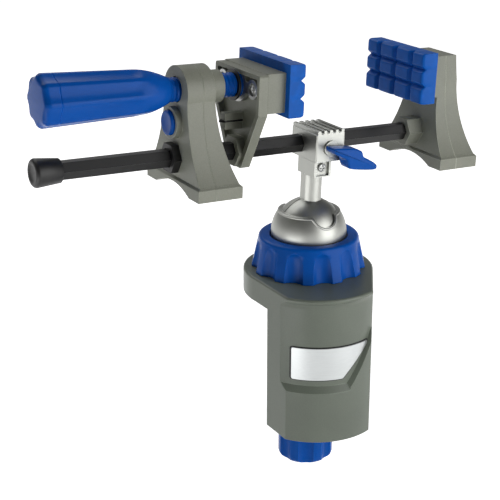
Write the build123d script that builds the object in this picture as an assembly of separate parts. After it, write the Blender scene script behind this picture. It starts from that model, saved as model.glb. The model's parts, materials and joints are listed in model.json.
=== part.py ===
"""Universal vise: an edge clamp with a ball swivel that carries a hex bar and two padded jaws."""
import os
from math import asin, atan2, cos, degrees, sin, sqrt

from build123d import *

# Driving dimensions, in millimetres and degrees
# The origin is the middle of the upper pad's underside, on the axis of ball and clamp screw
# +X runs across the column's front, +Y from the column along the arm, +Z up
# Pieces are drawn from the corner that the clamp closes on and moved to the origin at the end

# Shared
overrun = 5.0               # how far a cut runs past the face that it starts from
run_gap = 0.3               # clearance between pieces that move on each other
head_yaw = 17.5             # the way the head is swivelled on the base
head_lean = 2.35            # the way the head leans in its ball, right end low
screw_head_radius = 3.2
screw_head_height = 2.0
screw_shank_radius = 1.6
screw_hole_gap = 0.05       # a screw's hole is this much wider than its shank

# Clamp with its arm and column
ball_setback = 34.4         # ball centre behind the clamped corner
ball_height = 46.5          # ball centre above the clamped corner
upper_pad_thick = 2.0
upper_pad_inset = 4.0
arm_top = 19.5              # upper face of the arm above the clamped corner
arm_edge_radius = 1.5
disc_radius = 48.0
front_half = 31.65          # half the width of the column at its front corners
front_corner_reach = 24.55
front_crown_reach = 36.0
column_drop = 91.0          # column foot below the clamped corner
column_wall = 8.5
column_roof_drop = 8.0
cover_thick = 3.0
cover_gap = 0.1
lower_arm_half = 20.0
lower_arm_thick = 15.0
recess_depth = 3.8
recess_top_drop = 2.5
recess_cove = 6.0
ledge_level = -47.7         # height of the sunk panel's lower edge
ledge_drop = 4.6            # height of the sloping ledge below it
ledge_bend_x = 11.7         # where the ledge turns up to the right
ledge_end_x = 32.5
ledge_end_level = -27.4
badge_thick = 1.0
badge_left = -27.7
badge_right = 8.3
badge_tip_x = 28.6
badge_top = -18.5
badge_bottom = -43.0
badge_tip_drop = 2.6
badge_corner_radius = 1.3

# Ball socket
ball_radius = 26.0
cup_wall = 1.5
cup_rim_rise = 17.1
cup_flange_radius = 32.8
cup_flange_thick = 4.2
cup_flange_drop = 11.7      # under face of the flange below the ball centre
tilt_limit = 50.0
turret_radius = 33.0
pocket_radius = 25.0
pocket_drop = 33.5
seat_top_drop = 16.0
seat_bore_radius = 10.0
ring_top_drop = 1.5
ring_hole_gap = 0.9         # between the ring's upper lip and the cup
ring_lip = 7.8              # width of the ring's upper face
ring_wall = 8.7             # width of the ring's under face
ring_edge_share = 0.32      # rounding of the upper edge, as a share of the lip
ring_flutes = 12
ring_flute_radius = 8.5
ring_flute_depth = 3.8
ring_flute_lean = 4.5

# Clamp screw under the arm
clamped_thick = 17.5        # thickness that it is closed on at rest
shoe_radius = 17.0
shoe_thick = 8.0
shoe_pad_thick = 2.5
clamp_screw_radius = 6.5
shoe_socket_depth = 5.5
bush_radius = 10.5
bush_flange_radius = 14.0
bush_flange_thick = 1.5
knob_radius = 21.0
knob_height = 28.5
knob_drop = 17.5            # knob top below the column foot
knob_edge_radius = 4.0
knob_lobes = 7
knob_flute_radius = 8.0
knob_flute_depth = 3.4
knob_hub_depth = 20.0
knob_pin_radius = 1.5
knob_pin_length = 24.0
knob_pin_drop = 5.0

# Ball stud and clamp block, measured up the stem from the ball centre
stem_radius = 7.75
stem_flat = 7.1             # half the width over the two moulding flats
band_half = 2.7             # half the width of the moulding band round the ball
band_depth = 0.35
neck_rise = 44.6
tenon_radius = 5.5
tenon_length = 10.5
neck_half_x = 7.0
neck_front = 14.0           # faces of neck and block in front of the bar's axis, and behind it
neck_back = 8.0
block_rise = 58.4
block_half_x = 12.0
block_front = 22.3
block_back = 10.5
block_height = 22.5
block_edge_radius = 1.2
groove_count = 4
groove_radius = 1.25
groove_depth = 2.4
groove_pitch = 4.85
shoulder_width = 1.0
shoulder_drop = 2.8
window_half = 5.2
window_height = 12.2
window_depth = 2.0
window_margin = 0.7
block_screw_rise_share = 0.5

# Hex bar, its end cap and the wing lever
bar_rise = 68.0             # bar axis above the ball centre
bar_width = 11.5            # across the flats
bar_left = -209.5
bar_right = 117.0
cap_left = -214.5
cap_right = -195.5
cap_radius = 9.7
cap_neck_radius = 8.2
cap_edge_radius = 2.5
lever_stud_radius = 2.0
lever_stud_share = 0.6      # how far the stud reaches into the lever, as a share of its thickness
lever_shoe_length = 2.6
lever_washer_radius = 5.6
lever_washer_thick = 1.3
lever_thick = 12.0
lever_length = 32.0         # from the stud to the wing's tip
lever_drop = 15.7           # from the stud down to the wing's lower edge
lever_outline_shares = (
    (-0.175, 0.075), (-0.13, 0.18), (0.19, 0.13), (0.43, 0.06), (0.57, -0.08),
    (0.63, -0.33), (0.745, -0.46), (0.945, -0.70), (1.0, -0.865), (0.905, -1.0),
    (0.345, -0.86), (0.225, -0.71), (0.165, -0.395), (0.0, -0.21), (-0.13, -0.06),
)

# Jaws, measured along the bar from the block's middle and up from the ball centre
pad_half_width = 34.2
pad_height = 36.5
pad_thick = 13.0
pad_bottom_rise = 95.8
pad_groove_depth = 3.0
pad_groove_half = 2.8
pad_edge_radius = 1.4
pad_column_shares = (-0.565, 0.0, 0.565)
pad_row_shares = (0.35, 0.69)
fixed_face_x = 66.9
moving_face_x = -31.0
foot_drop = 22.4            # feet below the bar axis
foot_half = 38.0
plinth_height = 9.4
plinth_lip = 1.6
plinth_chamfer = 1.4
arch_half = 24.0
arch_height = 6.2
flare_foot_half = 36.2
flare_waist_half = 21.6
flare_waist_rise = 27.5
flare_shoulder_rise = 53.0
jaw_wall = 3.0
hex_boss_width = 19.0
jaw_boss_radius = 4.2
jaw_screw_spread = 21.0
jaw_screw_rise = 10.0
jaw_screw_length = 20.0
jaw_screw_sink = 1.0
cross_pin_radius = 2.0

# Fixed jaw
fixed_inner_foot = 89.0
fixed_inner_top = 94.5
fixed_outer_foot = 119.4
fixed_outer_mid = 114.7
fixed_outer_top = 111.5
fixed_top_rise = 125.8
fixed_shoulder_half = 18.4
fixed_flat_half = 16.2
fixed_seam_x = 102.0
fixed_boss_x = 78.5

# Sliding jaw, its screw nut, lock and release button
screw_rise = 114.5
sliding_outer = -112.0
sliding_inner_foot = -81.7
sliding_inner_mid = -88.2
sliding_inner_top = -91.0
sliding_top_radius = 16.0
sliding_shoulder_half = 16.6
sliding_seam_x = -100.0
bar_bush_length = 5.6
bar_bush_x = sliding_outer - bar_bush_length
bar_bush_width = 15.6       # over the flats of the sleeve in the jaw's wall
nut_radius = 11.2
nut_flange_radius = 12.6
nut_flange_thick = 3.5
nut_face_x = -80.4
button_rise = 92.3
button_radius = 8.5
button_boss_radius = 11.0
button_boss_length = 4.5
button_boss_x = sliding_outer - button_boss_length
button_proud = 2.5
button_face_x = button_boss_x - button_proud
button_flange_radius = 9.8
button_flange_thick = 1.2
button_stroke = 3.0
lock_plate_thick = 3.0
lock_plate_half = 12.0
lock_plate_tail = 9.5
spring_radius = 4.0
spring_wire = 1.0
spring_length = 9.0
spring_rise = 82.0

# Moving jaw
plate_face_x = -58.3        # face of the plate on the pad's side
plate_floor = 3.0
plate_rim_depth = 7.0
plate_rim = 3.0
plate_half = 30.0
plate_top_rise = 125.5
plate_shoulder_rise = 98.0
plate_foot_half = 9.0
plate_foot_rise = 57.0
plate_corner_radius = 2.0
collar_boss_width = 20.0
collar_boss_length = 10.0
carrier_half = 29.0
carrier_bottom_rise = 99.0
carrier_top_rise = 126.0
carrier_bore_radius = 9.0
carrier_bore_depth = 11.0
lug_length = 14.0
lug_half_y = 3.0
lug_height = 5.0
lug_gap = 1.4
lug_rise = 84.0
blade_point = 3.2           # how far the blade's tip stands out past the lugs
retainer_ring_radius = 11.8
retainer_boss_radius = 6.6
retainer_recess_gap = 1.3   # between a screw head and the wall of its recess
retainer_bridge = 8.0
retainer_thick = 3.6
retainer_screw_y = 20.0
journal_radius = 5.0
journal_end_x = -51.0
clip_radius = 7.6
clip_thick = 1.2
clip_x = -57.4

# Handle and screw
thread_radius = 8.5
groove_neck_radius = 7.3
groove_x = -69.6
groove_width = 2.0
thrust_ring_radius = 10.8
thrust_ring_gap = 0.3
grip_left = -211.0
grip_gap = 7.0             # from the grip's neck to the jaw, with the screw at rest
grip_right = sliding_outer - grip_gap
grip_radius = 17.9
grip_mid_radius = 15.6      # where the grip starts to draw in towards its neck
grip_neck_radius = 8.9
grip_taper_share = 0.72
grip_flutes = 8
grip_flute_turn_share = 0.5  # of the angle between two flutes
grip_flute_radius = 11.0
grip_flute_depth = 1.5
end_cap_length = 11.0
end_cap_dome = 4.2
end_cap_spigot_radius = 10.0
end_cap_spigot_length = 12.0

# Places worked out from the sizes above
ball_centre = (0, ball_setback, ball_height)
FRAME = Location((0, -ball_setback, 0))
SWIVEL = Location(ball_centre, (0, 0, head_yaw))
HEAD = SWIVEL * Location((0, 0, 0), (0, head_lean, 0))
front_bulge = front_crown_reach - front_corner_reach
front_radius = (front_half ** 2 + front_bulge ** 2) / (2 * front_bulge)
front_axis_y = front_radius - front_crown_reach
turret_top = ball_height - cup_flange_drop - run_gap
cup_inner_radius = ball_radius + run_gap
cup_outer_radius = cup_inner_radius + cup_wall
cup_flange_top = cup_flange_thick - cup_flange_drop
ring_hole_radius = cup_outer_radius + ring_hole_gap
ring_top_radius = ring_hole_radius + ring_lip
ring_bottom_radius = turret_radius + run_gap + ring_wall
shoe_top = -clamped_thick - shoe_pad_thick
knob_top = -column_drop - knob_drop
lower_arm_top = lower_arm_thick - column_drop
feet_rise = bar_rise - foot_drop
plinth_top = feet_rise + plinth_height
bar_hole_width = bar_width + 2 * run_gap
MIN_Z = (Align.CENTER, Align.CENTER, Align.MIN)


def upright(outline, low, high):
    """Prism along Z from an outline drawn in (x, y)."""
    face = Plane.XY.offset(low) * Face(Wire(outline))
    return extrude(face, amount=high - low, dir=(0, 0, 1))


def across_x(outline, left, right):
    """Prism along X from an outline drawn in (y, z)."""
    face = Plane.YZ.offset(left) * Face(Wire(outline))
    return extrude(face, amount=right - left, dir=(1, 0, 0))


def across_y(outline, front, back):
    """Prism along Y from an outline drawn in (x, z)."""
    face = Plane.XZ.offset(-front) * Face(Wire(outline))
    return extrude(face, amount=back - front, dir=(0, 1, 0))


def polygon(points):
    return Polyline(*points, close=True).edges()


def box_between(low, high):
    size = [b - a for a, b in zip(low, high)]
    middle = [(a + b) / 2 for a, b in zip(low, high)]
    return Pos(*middle) * Box(*size)


def rod_x(radius, left, right, y=0, z=0):
    return Location((left, y, z), (0, 90, 0)) * Cylinder(radius, right - left, align=MIN_Z)


def rod_y(radius, front, back, x=0, z=0):
    return Location((x, front, z), (-90, 0, 0)) * Cylinder(radius, back - front, align=MIN_Z)


def rod_z(radius, low, high, x=0, y=0):
    return Location((x, y, low)) * Cylinder(radius, high - low, align=MIN_Z)


def hex_x(width, left, right, z=bar_rise):
    """Hexagonal bar along X, of a given width across its flats, which lie above and below."""
    face = Plane.YZ.offset(left) * (Pos(0, z) * RegularPolygon(width / 2, 6, major_radius=False))
    return extrude(face, amount=right - left, dir=(1, 0, 0))


def turned_x(outline, z):
    """Solid of revolution about a line along X at a given height, from an outline drawn in (radius, x)."""
    return Location((0, 0, z), (0, 90, 0)) * revolve(Plane.XZ * Face(Wire(outline)), Axis.Z)


# Clamp with its arm and column


def wall_tangent():
    """Right-hand point where the column's side wall meets the disc."""
    reach_x = -front_half
    reach_y = ball_setback + front_corner_reach
    reach = sqrt(reach_x ** 2 + reach_y ** 2)
    turn = atan2(reach_y, reach_x) - asin(disc_radius / reach)
    run = sqrt(reach ** 2 - disc_radius ** 2)
    return front_half + run * cos(turn), -front_corner_reach + run * sin(turn)


def wall_x(y):
    """Half-width of the column between its side walls at a given depth."""
    tangent_x, tangent_y = wall_tangent()
    slope = (tangent_x - front_half) / (tangent_y + front_corner_reach)
    return front_half + slope * (y + front_corner_reach)


def front_y(x, inset=0):
    """Depth of the curved front, or of the surface a given inset behind it."""
    return front_axis_y - sqrt((front_radius - inset) ** 2 - x ** 2)


def arm_outline():
    tangent_x, tangent_y = wall_tangent()
    corner_y = -front_corner_reach
    return [
        ThreePointArc((-front_half, corner_y), (0, -front_crown_reach), (front_half, corner_y)),
        Line((front_half, corner_y), (tangent_x, tangent_y)),
        ThreePointArc((tangent_x, tangent_y), (0, ball_setback + disc_radius), (-tangent_x, tangent_y)),
        Line((-tangent_x, tangent_y), (-front_half, corner_y)),
    ]


def column_outline(inset):
    corner_x = front_half - inset
    corner_y = front_y(corner_x, inset)
    rear_x = wall_x(-inset) - inset
    return [
        ThreePointArc((-corner_x, corner_y), (0, front_y(0, inset)), (corner_x, corner_y)),
        Line((corner_x, corner_y), (rear_x, -inset)),
        Line((rear_x, -inset), (-rear_x, -inset)),
        Line((-rear_x, -inset), (-corner_x, corner_y)),
    ]


def front_recess():
    """Cutter for the sunk upper panel: a ring about the front's own axis, with the diagonal ledge kept."""
    floor = front_radius - recess_depth
    outside = front_radius + overrun
    top = arm_top - recess_top_drop
    ledge_low = ledge_level - ledge_drop
    profile = [
        Line((outside, top), (front_radius, top)),
        TangentArc((floor, top - recess_cove), (front_radius, top), tangent=(0, 1)),
        Line((floor, top - recess_cove), (floor, ledge_level)),
        Line((floor, ledge_level), (front_radius, ledge_low)),
        Line((front_radius, ledge_low), (outside, ledge_low)),
        Line((outside, ledge_low), (outside, top)),
    ]
    ring = Pos(0, front_axis_y, 0) * revolve(Plane.XZ * Face(Wire(profile)), Axis.Z)
    far = 2 * disc_radius
    ring &= box_between((-far, -far, -column_drop), (far, 0, arm_top))
    rise = ledge_end_level - ledge_level
    run = ledge_end_x - ledge_bend_x
    slope = rise / run
    corner = (far, ledge_level + slope * (far - ledge_bend_x))
    kept = [(ledge_bend_x, ledge_level), corner, (far, -column_drop), (ledge_bend_x, -column_drop)]
    length = sqrt(rise ** 2 + run ** 2)
    inward = Vector(-rise / length, 1, run / length)
    sketch = Plane.XZ.offset(-front_y(ledge_bend_x, recess_depth)) * Face(Wire(polygon(kept)))
    wedge = extrude(sketch, amount=recess_depth + overrun, dir=inward * -1)
    wedge += extrude(sketch, amount=front_bulge + overrun, dir=inward)
    return ring - wedge


def clamp_frame():
    body = upright(arm_outline(), upper_pad_thick, arm_top)
    body = fillet(body.edges().group_by(Axis.Z)[-1], arm_edge_radius)
    body += upright(column_outline(0), -column_drop, arm_top - arm_edge_radius)
    body -= front_recess()
    body -= upright(column_outline(column_wall), -column_drop - overrun, -column_roof_drop)
    low = (-lower_arm_half, -column_wall, -column_drop)
    tongue = box_between(low, (lower_arm_half, ball_setback, lower_arm_top))
    tongue += rod_z(lower_arm_half, -column_drop, lower_arm_top, y=ball_setback)
    body += tongue
    body += rod_z(turret_radius, arm_top - overrun, turret_top, y=ball_setback)
    body -= rod_z(pocket_radius, ball_height - pocket_drop, turret_top + overrun, y=ball_setback)
    body -= rod_z(bush_radius, -column_drop - overrun, lower_arm_top + overrun, y=ball_setback)
    flange_low = lower_arm_top - bush_flange_thick
    body -= rod_z(bush_flange_radius, flange_low, lower_arm_top + overrun, y=ball_setback)
    return body


def column_cover():
    """Cover that closes the hollow column from below."""
    return upright(column_outline(column_wall + cover_gap), -column_drop, cover_thick - column_drop)


def badge_plate():
    floor = front_radius - recess_depth
    skin = rod_z(floor + badge_thick, badge_bottom, badge_top) - rod_z(floor, badge_bottom, badge_top)
    corners = [
        (badge_left, badge_top),
        (badge_left, badge_bottom),
        (badge_right, badge_bottom),
        (badge_tip_x, badge_top - badge_tip_drop),
        (badge_tip_x, badge_top),
    ]
    face = Face(Wire(polygon(corners)))
    face = fillet(face.vertices(), badge_corner_radius)
    blank = extrude(Plane.XZ * face, amount=front_crown_reach + overrun)
    return (Pos(0, front_axis_y, 0) * skin) & blank


def upper_table_pad():
    pad = rod_z(disc_radius - upper_pad_inset, 0, upper_pad_thick, y=ball_setback)
    far = 2 * disc_radius
    return pad & box_between((-far, upper_pad_inset, 0), (far, far, upper_pad_thick))


def ball_seat():
    seat = rod_z(pocket_radius, ball_height - pocket_drop, ball_height - seat_top_drop, y=ball_setback)
    seat -= Pos(*ball_centre) * Sphere(ball_radius + run_gap)
    return seat - rod_z(seat_bore_radius, 0, ball_height, y=ball_setback)


def screw_bush():
    bush = rod_z(bush_radius, -column_drop, lower_arm_top, y=ball_setback)
    bush += rod_z(bush_flange_radius, lower_arm_top - bush_flange_thick, lower_arm_top, y=ball_setback)
    return bush - rod_z(clamp_screw_radius + run_gap, -column_drop - overrun, 0, y=ball_setback)


def lock_ring():
    bottom = arm_top + run_gap
    top = ball_height - ring_top_drop
    shoulder = ball_height + cup_flange_top + run_gap
    bore = turret_radius + run_gap
    profile = [
        Line((bore, bottom), (ring_bottom_radius, bottom)),
        Line((ring_bottom_radius, bottom), (ring_top_radius, top)),
        Line((ring_top_radius, top), (ring_hole_radius, top)),
        Line((ring_hole_radius, top), (ring_hole_radius, shoulder)),
        Line((ring_hole_radius, shoulder), (bore, shoulder)),
        Line((bore, shoulder), (bore, bottom)),
    ]
    ring = Pos(0, ball_setback, 0) * revolve(Plane.XZ * Face(Wire(profile)), Axis.Z)
    outer_top = ring.edges().filter_by(GeomType.CIRCLE).group_by(Axis.Z)[-1].sort_by(SortBy.RADIUS)[-1]
    ring = fillet(outer_top, ring_edge_share * ring_lip)
    flute_centre = ring_bottom_radius - ring_flute_depth + ring_flute_radius
    for i in range(ring_flutes):
        turn = Location((0, ball_setback, bottom), (0, 0, 360 * i / ring_flutes))
        cutter = Cylinder(ring_flute_radius, 2 * (top - bottom))
        ring -= turn * Location((flute_centre, 0, 0), (0, -ring_flute_lean, 0)) * cutter
    return ring


def socket_cup():
    """Cup round the ball, with a notch front and back for the stem."""
    far = 2 * cup_outer_radius
    cup = Sphere(cup_outer_radius) & box_between((-far, -far, -cup_flange_drop), (far, far, cup_rim_rise))
    cup += rod_z(cup_flange_radius, -cup_flange_drop, cup_flange_top)
    cup -= Sphere(cup_inner_radius)
    half = stem_radius + 3 * run_gap
    low = cup_inner_radius / 2
    for tilt in (-tilt_limit, tilt_limit):
        notch = rod_z(half, low, far)
        side = tilt / tilt_limit
        notch += box_between((-half, min(0, side * far), low), (half, max(0, side * far), far))
        cup -= Location((0, 0, 0), (-tilt, 0, 0)) * Location((0, 0, 0), (0, 0, 180)) * notch
    return SWIVEL * cup


# Clamp screw under the arm


def clamp_shoe():
    shoe = rod_z(shoe_radius, shoe_top - shoe_thick, shoe_top, y=ball_setback)
    socket = rod_z(clamp_screw_radius + run_gap, shoe_top - shoe_thick - overrun,
                   shoe_top - shoe_thick + shoe_socket_depth, y=ball_setback)
    return shoe - socket


def shoe_pad():
    return rod_z(shoe_radius, shoe_top, shoe_top + shoe_pad_thick, y=ball_setback)


def clamp_screw():
    tip = shoe_top - shoe_thick + shoe_socket_depth - run_gap
    screw = rod_z(clamp_screw_radius, knob_top - knob_hub_depth, tip, y=ball_setback)
    return screw - knob_pin()


def clamp_knob():
    knob = rod_z(knob_radius, knob_top - knob_height, knob_top, y=ball_setback)
    knob = fillet(knob.edges().filter_by(GeomType.CIRCLE), knob_edge_radius)
    centre = knob_radius - knob_flute_depth + knob_flute_radius
    for i in range(knob_lobes):
        turn = Location((0, ball_setback, knob_top - knob_height), (0, 0, 360 * i / knob_lobes))
        knob -= turn * Pos(centre, 0, 0) * Cylinder(knob_flute_radius, 3 * knob_height)
    knob -= rod_z(clamp_screw_radius, knob_top - knob_hub_depth, knob_top + overrun, y=ball_setback)
    return knob - knob_pin()


def knob_pin():
    half = knob_pin_length / 2
    return rod_x(knob_pin_radius, -half, half, y=ball_setback, z=knob_top - knob_pin_drop)


# Ball head, built upright on the ball centre


def block_screw_rise():
    return neck_rise + block_screw_rise_share * (block_rise - neck_rise)


def ball_stud():
    shell = Sphere(ball_radius + overrun) - Sphere(ball_radius - band_depth)
    far = 2 * ball_radius
    ball = Sphere(ball_radius) - (shell & box_between((-far, -band_half, -far), (far, band_half, far)))
    stem = rod_z(stem_radius, 0, neck_rise)
    stem &= box_between((-stem_flat, -far, 0), (stem_flat, far, neck_rise))
    stud = ball + stem + rod_z(tenon_radius, neck_rise - overrun, neck_rise + tenon_length)
    return stud - rod_y(screw_shank_radius, -far, 0, z=block_screw_rise())


def clamp_block():
    top = block_rise + block_height
    block = box_between((-block_half_x, -block_front, block_rise), (block_half_x, block_back, top))
    block = fillet(block.edges().filter_by(Axis.Z), block_edge_radius)
    block += box_between((-neck_half_x, -neck_front, neck_rise), (neck_half_x, neck_back, block_rise))
    front = -block_front - overrun
    back = block_back + overrun
    round_z = top - groove_depth + groove_radius
    for i in range(groove_count):
        x = (i - (groove_count - 1) / 2) * groove_pitch
        block -= rod_y(groove_radius, front, back, x=x, z=round_z)
        block -= box_between((x - groove_radius, front, round_z), (x + groove_radius, back, top + overrun))
    for side in (-1, 1):
        edge = side * (block_half_x - shoulder_width)
        far = side * (block_half_x + overrun)
        low = (min(edge, far), front, top - shoulder_drop)
        block -= box_between(low, (max(edge, far), back, top + overrun))
    block -= hex_x(bar_hole_width, -block_half_x - overrun, block_half_x + overrun)
    block -= rod_z(tenon_radius, 0, neck_rise + tenon_length)
    block -= rod_y(lever_stud_radius + run_gap, front, 0, z=bar_rise)
    window_low = block_rise - window_margin - window_height
    block -= box_between((-window_half, -neck_front - overrun, window_low),
                         (window_half, window_depth - neck_front, window_low + window_height))
    return block - rod_y(screw_shank_radius, -neck_front - overrun, 0, z=block_screw_rise())


def block_screw():
    seat = window_depth - neck_front
    rise = block_screw_rise()
    screw = rod_y(screw_head_radius, seat - screw_head_height, seat, z=rise)
    return screw + rod_y(screw_shank_radius, seat, 0, z=rise)


def bar_front_y():
    """Depth of the bar's front edge."""
    return -bar_width / sqrt(3)


def bar_shoe():
    front = bar_front_y() - run_gap - lever_shoe_length
    shoe = rod_y(lever_stud_radius + run_gap, front, 0, z=bar_rise)
    return shoe - hex_x(bar_hole_width, -block_half_x, block_half_x)


def lever_back():
    """Depth of the lever's back, which lies on its washer."""
    return -block_front - run_gap - lever_washer_thick


def lever_stud():
    tip = bar_front_y() - 2 * run_gap - lever_shoe_length
    return rod_y(lever_stud_radius, lever_back() - lever_stud_share * lever_thick, tip, z=bar_rise)


def lever_washer():
    washer = rod_y(lever_washer_radius, lever_back(), lever_back() + lever_washer_thick, z=bar_rise)
    return washer - lever_stud()


def wing_lever():
    points = [(x * lever_length, bar_rise + z * lever_drop) for x, z in lever_outline_shares]
    wing = across_y([Spline(*points, periodic=True)], lever_back() - lever_thick, lever_back())
    return wing - lever_stud()


# Bar and fixed jaw


def hex_bar():
    bar = hex_x(bar_width, bar_left, bar_right)
    return bar - fixed_jaw_pin()


def bar_end_cap():
    edge_start = (cap_radius - cap_edge_radius, cap_left)
    edge_end = (cap_radius, cap_left + cap_edge_radius)
    profile = [
        Line((0, cap_left), edge_start),
        TangentArc(edge_start, edge_end, tangent=(1, 0)),
        Line(edge_end, (cap_neck_radius, cap_right)),
        Line((cap_neck_radius, cap_right), (0, cap_right)),
        Line((0, cap_right), (0, cap_left)),
    ]
    return turned_x(profile, bar_rise) - hex_x(bar_width, bar_left, cap_right + overrun)


def flare_outline(crown, shoulder_half, flat_half, inset):
    """A jaw's outline seen along the bar, with a flat top or, where its half is None, a round one."""
    base = plinth_top + inset
    waist = plinth_top + flare_waist_rise
    shoulder = plinth_top + flare_shoulder_rise
    foot_y = flare_foot_half - inset
    waist_y = flare_waist_half - inset
    shoulder_y = shoulder_half - inset
    top = crown - inset
    sides = [
        ThreePointArc((-shoulder_y, shoulder), (-waist_y, waist), (-foot_y, base)),
        Line((-foot_y, base), (foot_y, base)),
        ThreePointArc((foot_y, base), (waist_y, waist), (shoulder_y, shoulder)),
    ]
    if flat_half is None:
        return sides + [ThreePointArc((shoulder_y, shoulder), (0, top), (-shoulder_y, shoulder))]
    flat_y = flat_half - inset
    return sides + [
        Line((shoulder_y, shoulder), (flat_y, top)),
        Line((flat_y, top), (-flat_y, top)),
        Line((-flat_y, top), (-shoulder_y, shoulder)),
    ]


def fixed_side(inset):
    """The fixed jaw's outline seen from the front, with the step that carries its pad."""
    base = plinth_top + inset
    top = fixed_top_rise - inset
    shelf = pad_bottom_rise + jaw_wall + inset
    back_x = fixed_face_x + pad_thick + inset
    inner_foot = fixed_inner_foot + inset
    inner_top = fixed_inner_top + inset
    outer_foot = fixed_outer_foot - inset
    outer_top = fixed_outer_top - inset
    waist = plinth_top + flare_waist_rise
    return [
        Line((inner_foot, base), (inner_top, shelf - jaw_wall)),
        Line((inner_top, shelf - jaw_wall), (back_x, shelf)),
        Line((back_x, shelf), (back_x, top)),
        Line((back_x, top), (outer_top, top)),
        ThreePointArc((outer_top, top), (fixed_outer_mid - inset, waist), (outer_foot, base)),
        Line((outer_foot, base), (inner_foot, base)),
    ]


def sliding_side(inset):
    """The sliding jaw's outline seen from the front."""
    base = plinth_top + inset
    top = screw_rise + sliding_top_radius
    waist = plinth_top + flare_waist_rise
    shoulder = plinth_top + flare_shoulder_rise
    outer = sliding_outer + inset
    inner_top = sliding_inner_top - inset
    inner_foot = sliding_inner_foot - inset
    return [
        Line((outer, base), (outer, top)),
        Line((outer, top), (inner_top, top)),
        Line((inner_top, top), (inner_top, shoulder)),
        ThreePointArc((inner_top, shoulder), (sliding_inner_mid - inset, waist), (inner_foot, base)),
        Line((inner_foot, base), (outer, base)),
    ]


def crossed(front_outline, side_outline, left, right):
    """Body with one outline seen along the bar and another seen from the front."""
    return across_x(front_outline, left, right) & across_y(side_outline, -foot_half, foot_half)


def plinth(left, right):
    slab = box_between((left, -foot_half, feet_rise), (right, foot_half, plinth_top))
    slab = chamfer(slab.edges().group_by(Axis.Z)[-1], plinth_chamfer)
    arch = [
        ThreePointArc((-arch_half, feet_rise), (0, feet_rise + arch_height), (arch_half, feet_rise)),
        Line((arch_half, feet_rise), (-arch_half, feet_rise)),
    ]
    return slab - across_x(arch, left - overrun, right + overrun)


def jaw_screws(inner_face, far_face, direction):
    """Shell screws of a jaw, driven along X from a face: the screws, their holes and their bosses."""
    z = plinth_top + jaw_screw_rise
    screws = []
    holes = []
    bosses = []
    for y in (-jaw_screw_spread, jaw_screw_spread):
        head = inner_face - direction * jaw_screw_sink
        seat = head - direction * screw_head_height
        tip = seat - direction * jaw_screw_length
        out = inner_face + direction * overrun
        shank = rod_x(screw_shank_radius, min(seat, tip), max(seat, tip), y, z)
        screws.append(rod_x(screw_head_radius, min(head, seat), max(head, seat), y, z) + shank)
        holes.append(shank + rod_x(screw_head_radius, min(seat, out), max(seat, out), y, z))
        bosses.append(rod_x(jaw_boss_radius, min(out, far_face), max(out, far_face), y, z))
    return screws, holes, bosses


def fixed_jaw_body():
    left = fixed_face_x
    right = fixed_outer_foot + overrun
    outer = flare_outline(fixed_top_rise, fixed_shoulder_half, fixed_flat_half, 0)
    inner = flare_outline(fixed_top_rise, fixed_shoulder_half, fixed_flat_half, jaw_wall)
    body = crossed(outer, fixed_side(0), left, right)
    cavity = crossed(inner, fixed_side(jaw_wall), left, right)
    body += plinth(fixed_inner_foot - plinth_lip, fixed_outer_foot + plinth_lip)
    _, holes, bosses = jaw_screws(fixed_outer_foot - jaw_wall, fixed_inner_foot, 1)
    for boss in bosses:
        cavity -= boss
    cavity -= hex_x(hex_boss_width, fixed_boss_x, fixed_outer_foot + overrun)
    body -= cavity
    body += hex_x(hex_boss_width, fixed_boss_x, fixed_inner_top + jaw_wall)
    body -= hex_x(bar_width, fixed_boss_x - overrun, bar_right)
    for hole in holes:
        body -= hole
    return body - fixed_jaw_pin()


def fixed_jaw_pin():
    half = hex_boss_width / 2
    return rod_z(cross_pin_radius, bar_rise - half, bar_rise + half, x=(fixed_seam_x + fixed_outer_foot) / 2)


def fixed_jaw_inner(body):
    far = 2 * foot_half
    top = fixed_top_rise + overrun
    return body & box_between((fixed_boss_x - overrun, -far, 0), (fixed_seam_x, far, top))


def fixed_jaw_outer(body):
    far = 2 * foot_half
    top = fixed_top_rise + overrun
    return body & box_between((fixed_seam_x, -far, 0), (fixed_outer_foot + overrun, far, top))


def jaw_pad(face_x, direction):
    """Soft pad with its grid of V grooves on the gripping face."""
    back_x = face_x + direction * pad_thick
    low = (min(face_x, back_x), -pad_half_width, pad_bottom_rise)
    high = (max(face_x, back_x), pad_half_width, pad_bottom_rise + pad_height)
    pad = box_between(low, high)
    pad = fillet(pad.edges(), pad_edge_radius)
    reach = face_x - direction * overrun
    floor = face_x + direction * pad_groove_depth
    half = pad_groove_half * (1 + overrun / pad_groove_depth)
    for share in pad_column_shares:
        y = share * pad_half_width
        groove = [(floor, y), (reach, y + half), (reach, y - half)]
        pad -= upright(polygon(groove), pad_bottom_rise - overrun, pad_bottom_rise + pad_height + overrun)
    for share in pad_row_shares:
        z = pad_bottom_rise + share * pad_height
        groove = [(floor, z), (reach, z + half), (reach, z - half)]
        pad -= across_y(polygon(groove), -pad_half_width - overrun, pad_half_width + overrun)
    return pad


# Sliding jaw


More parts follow.
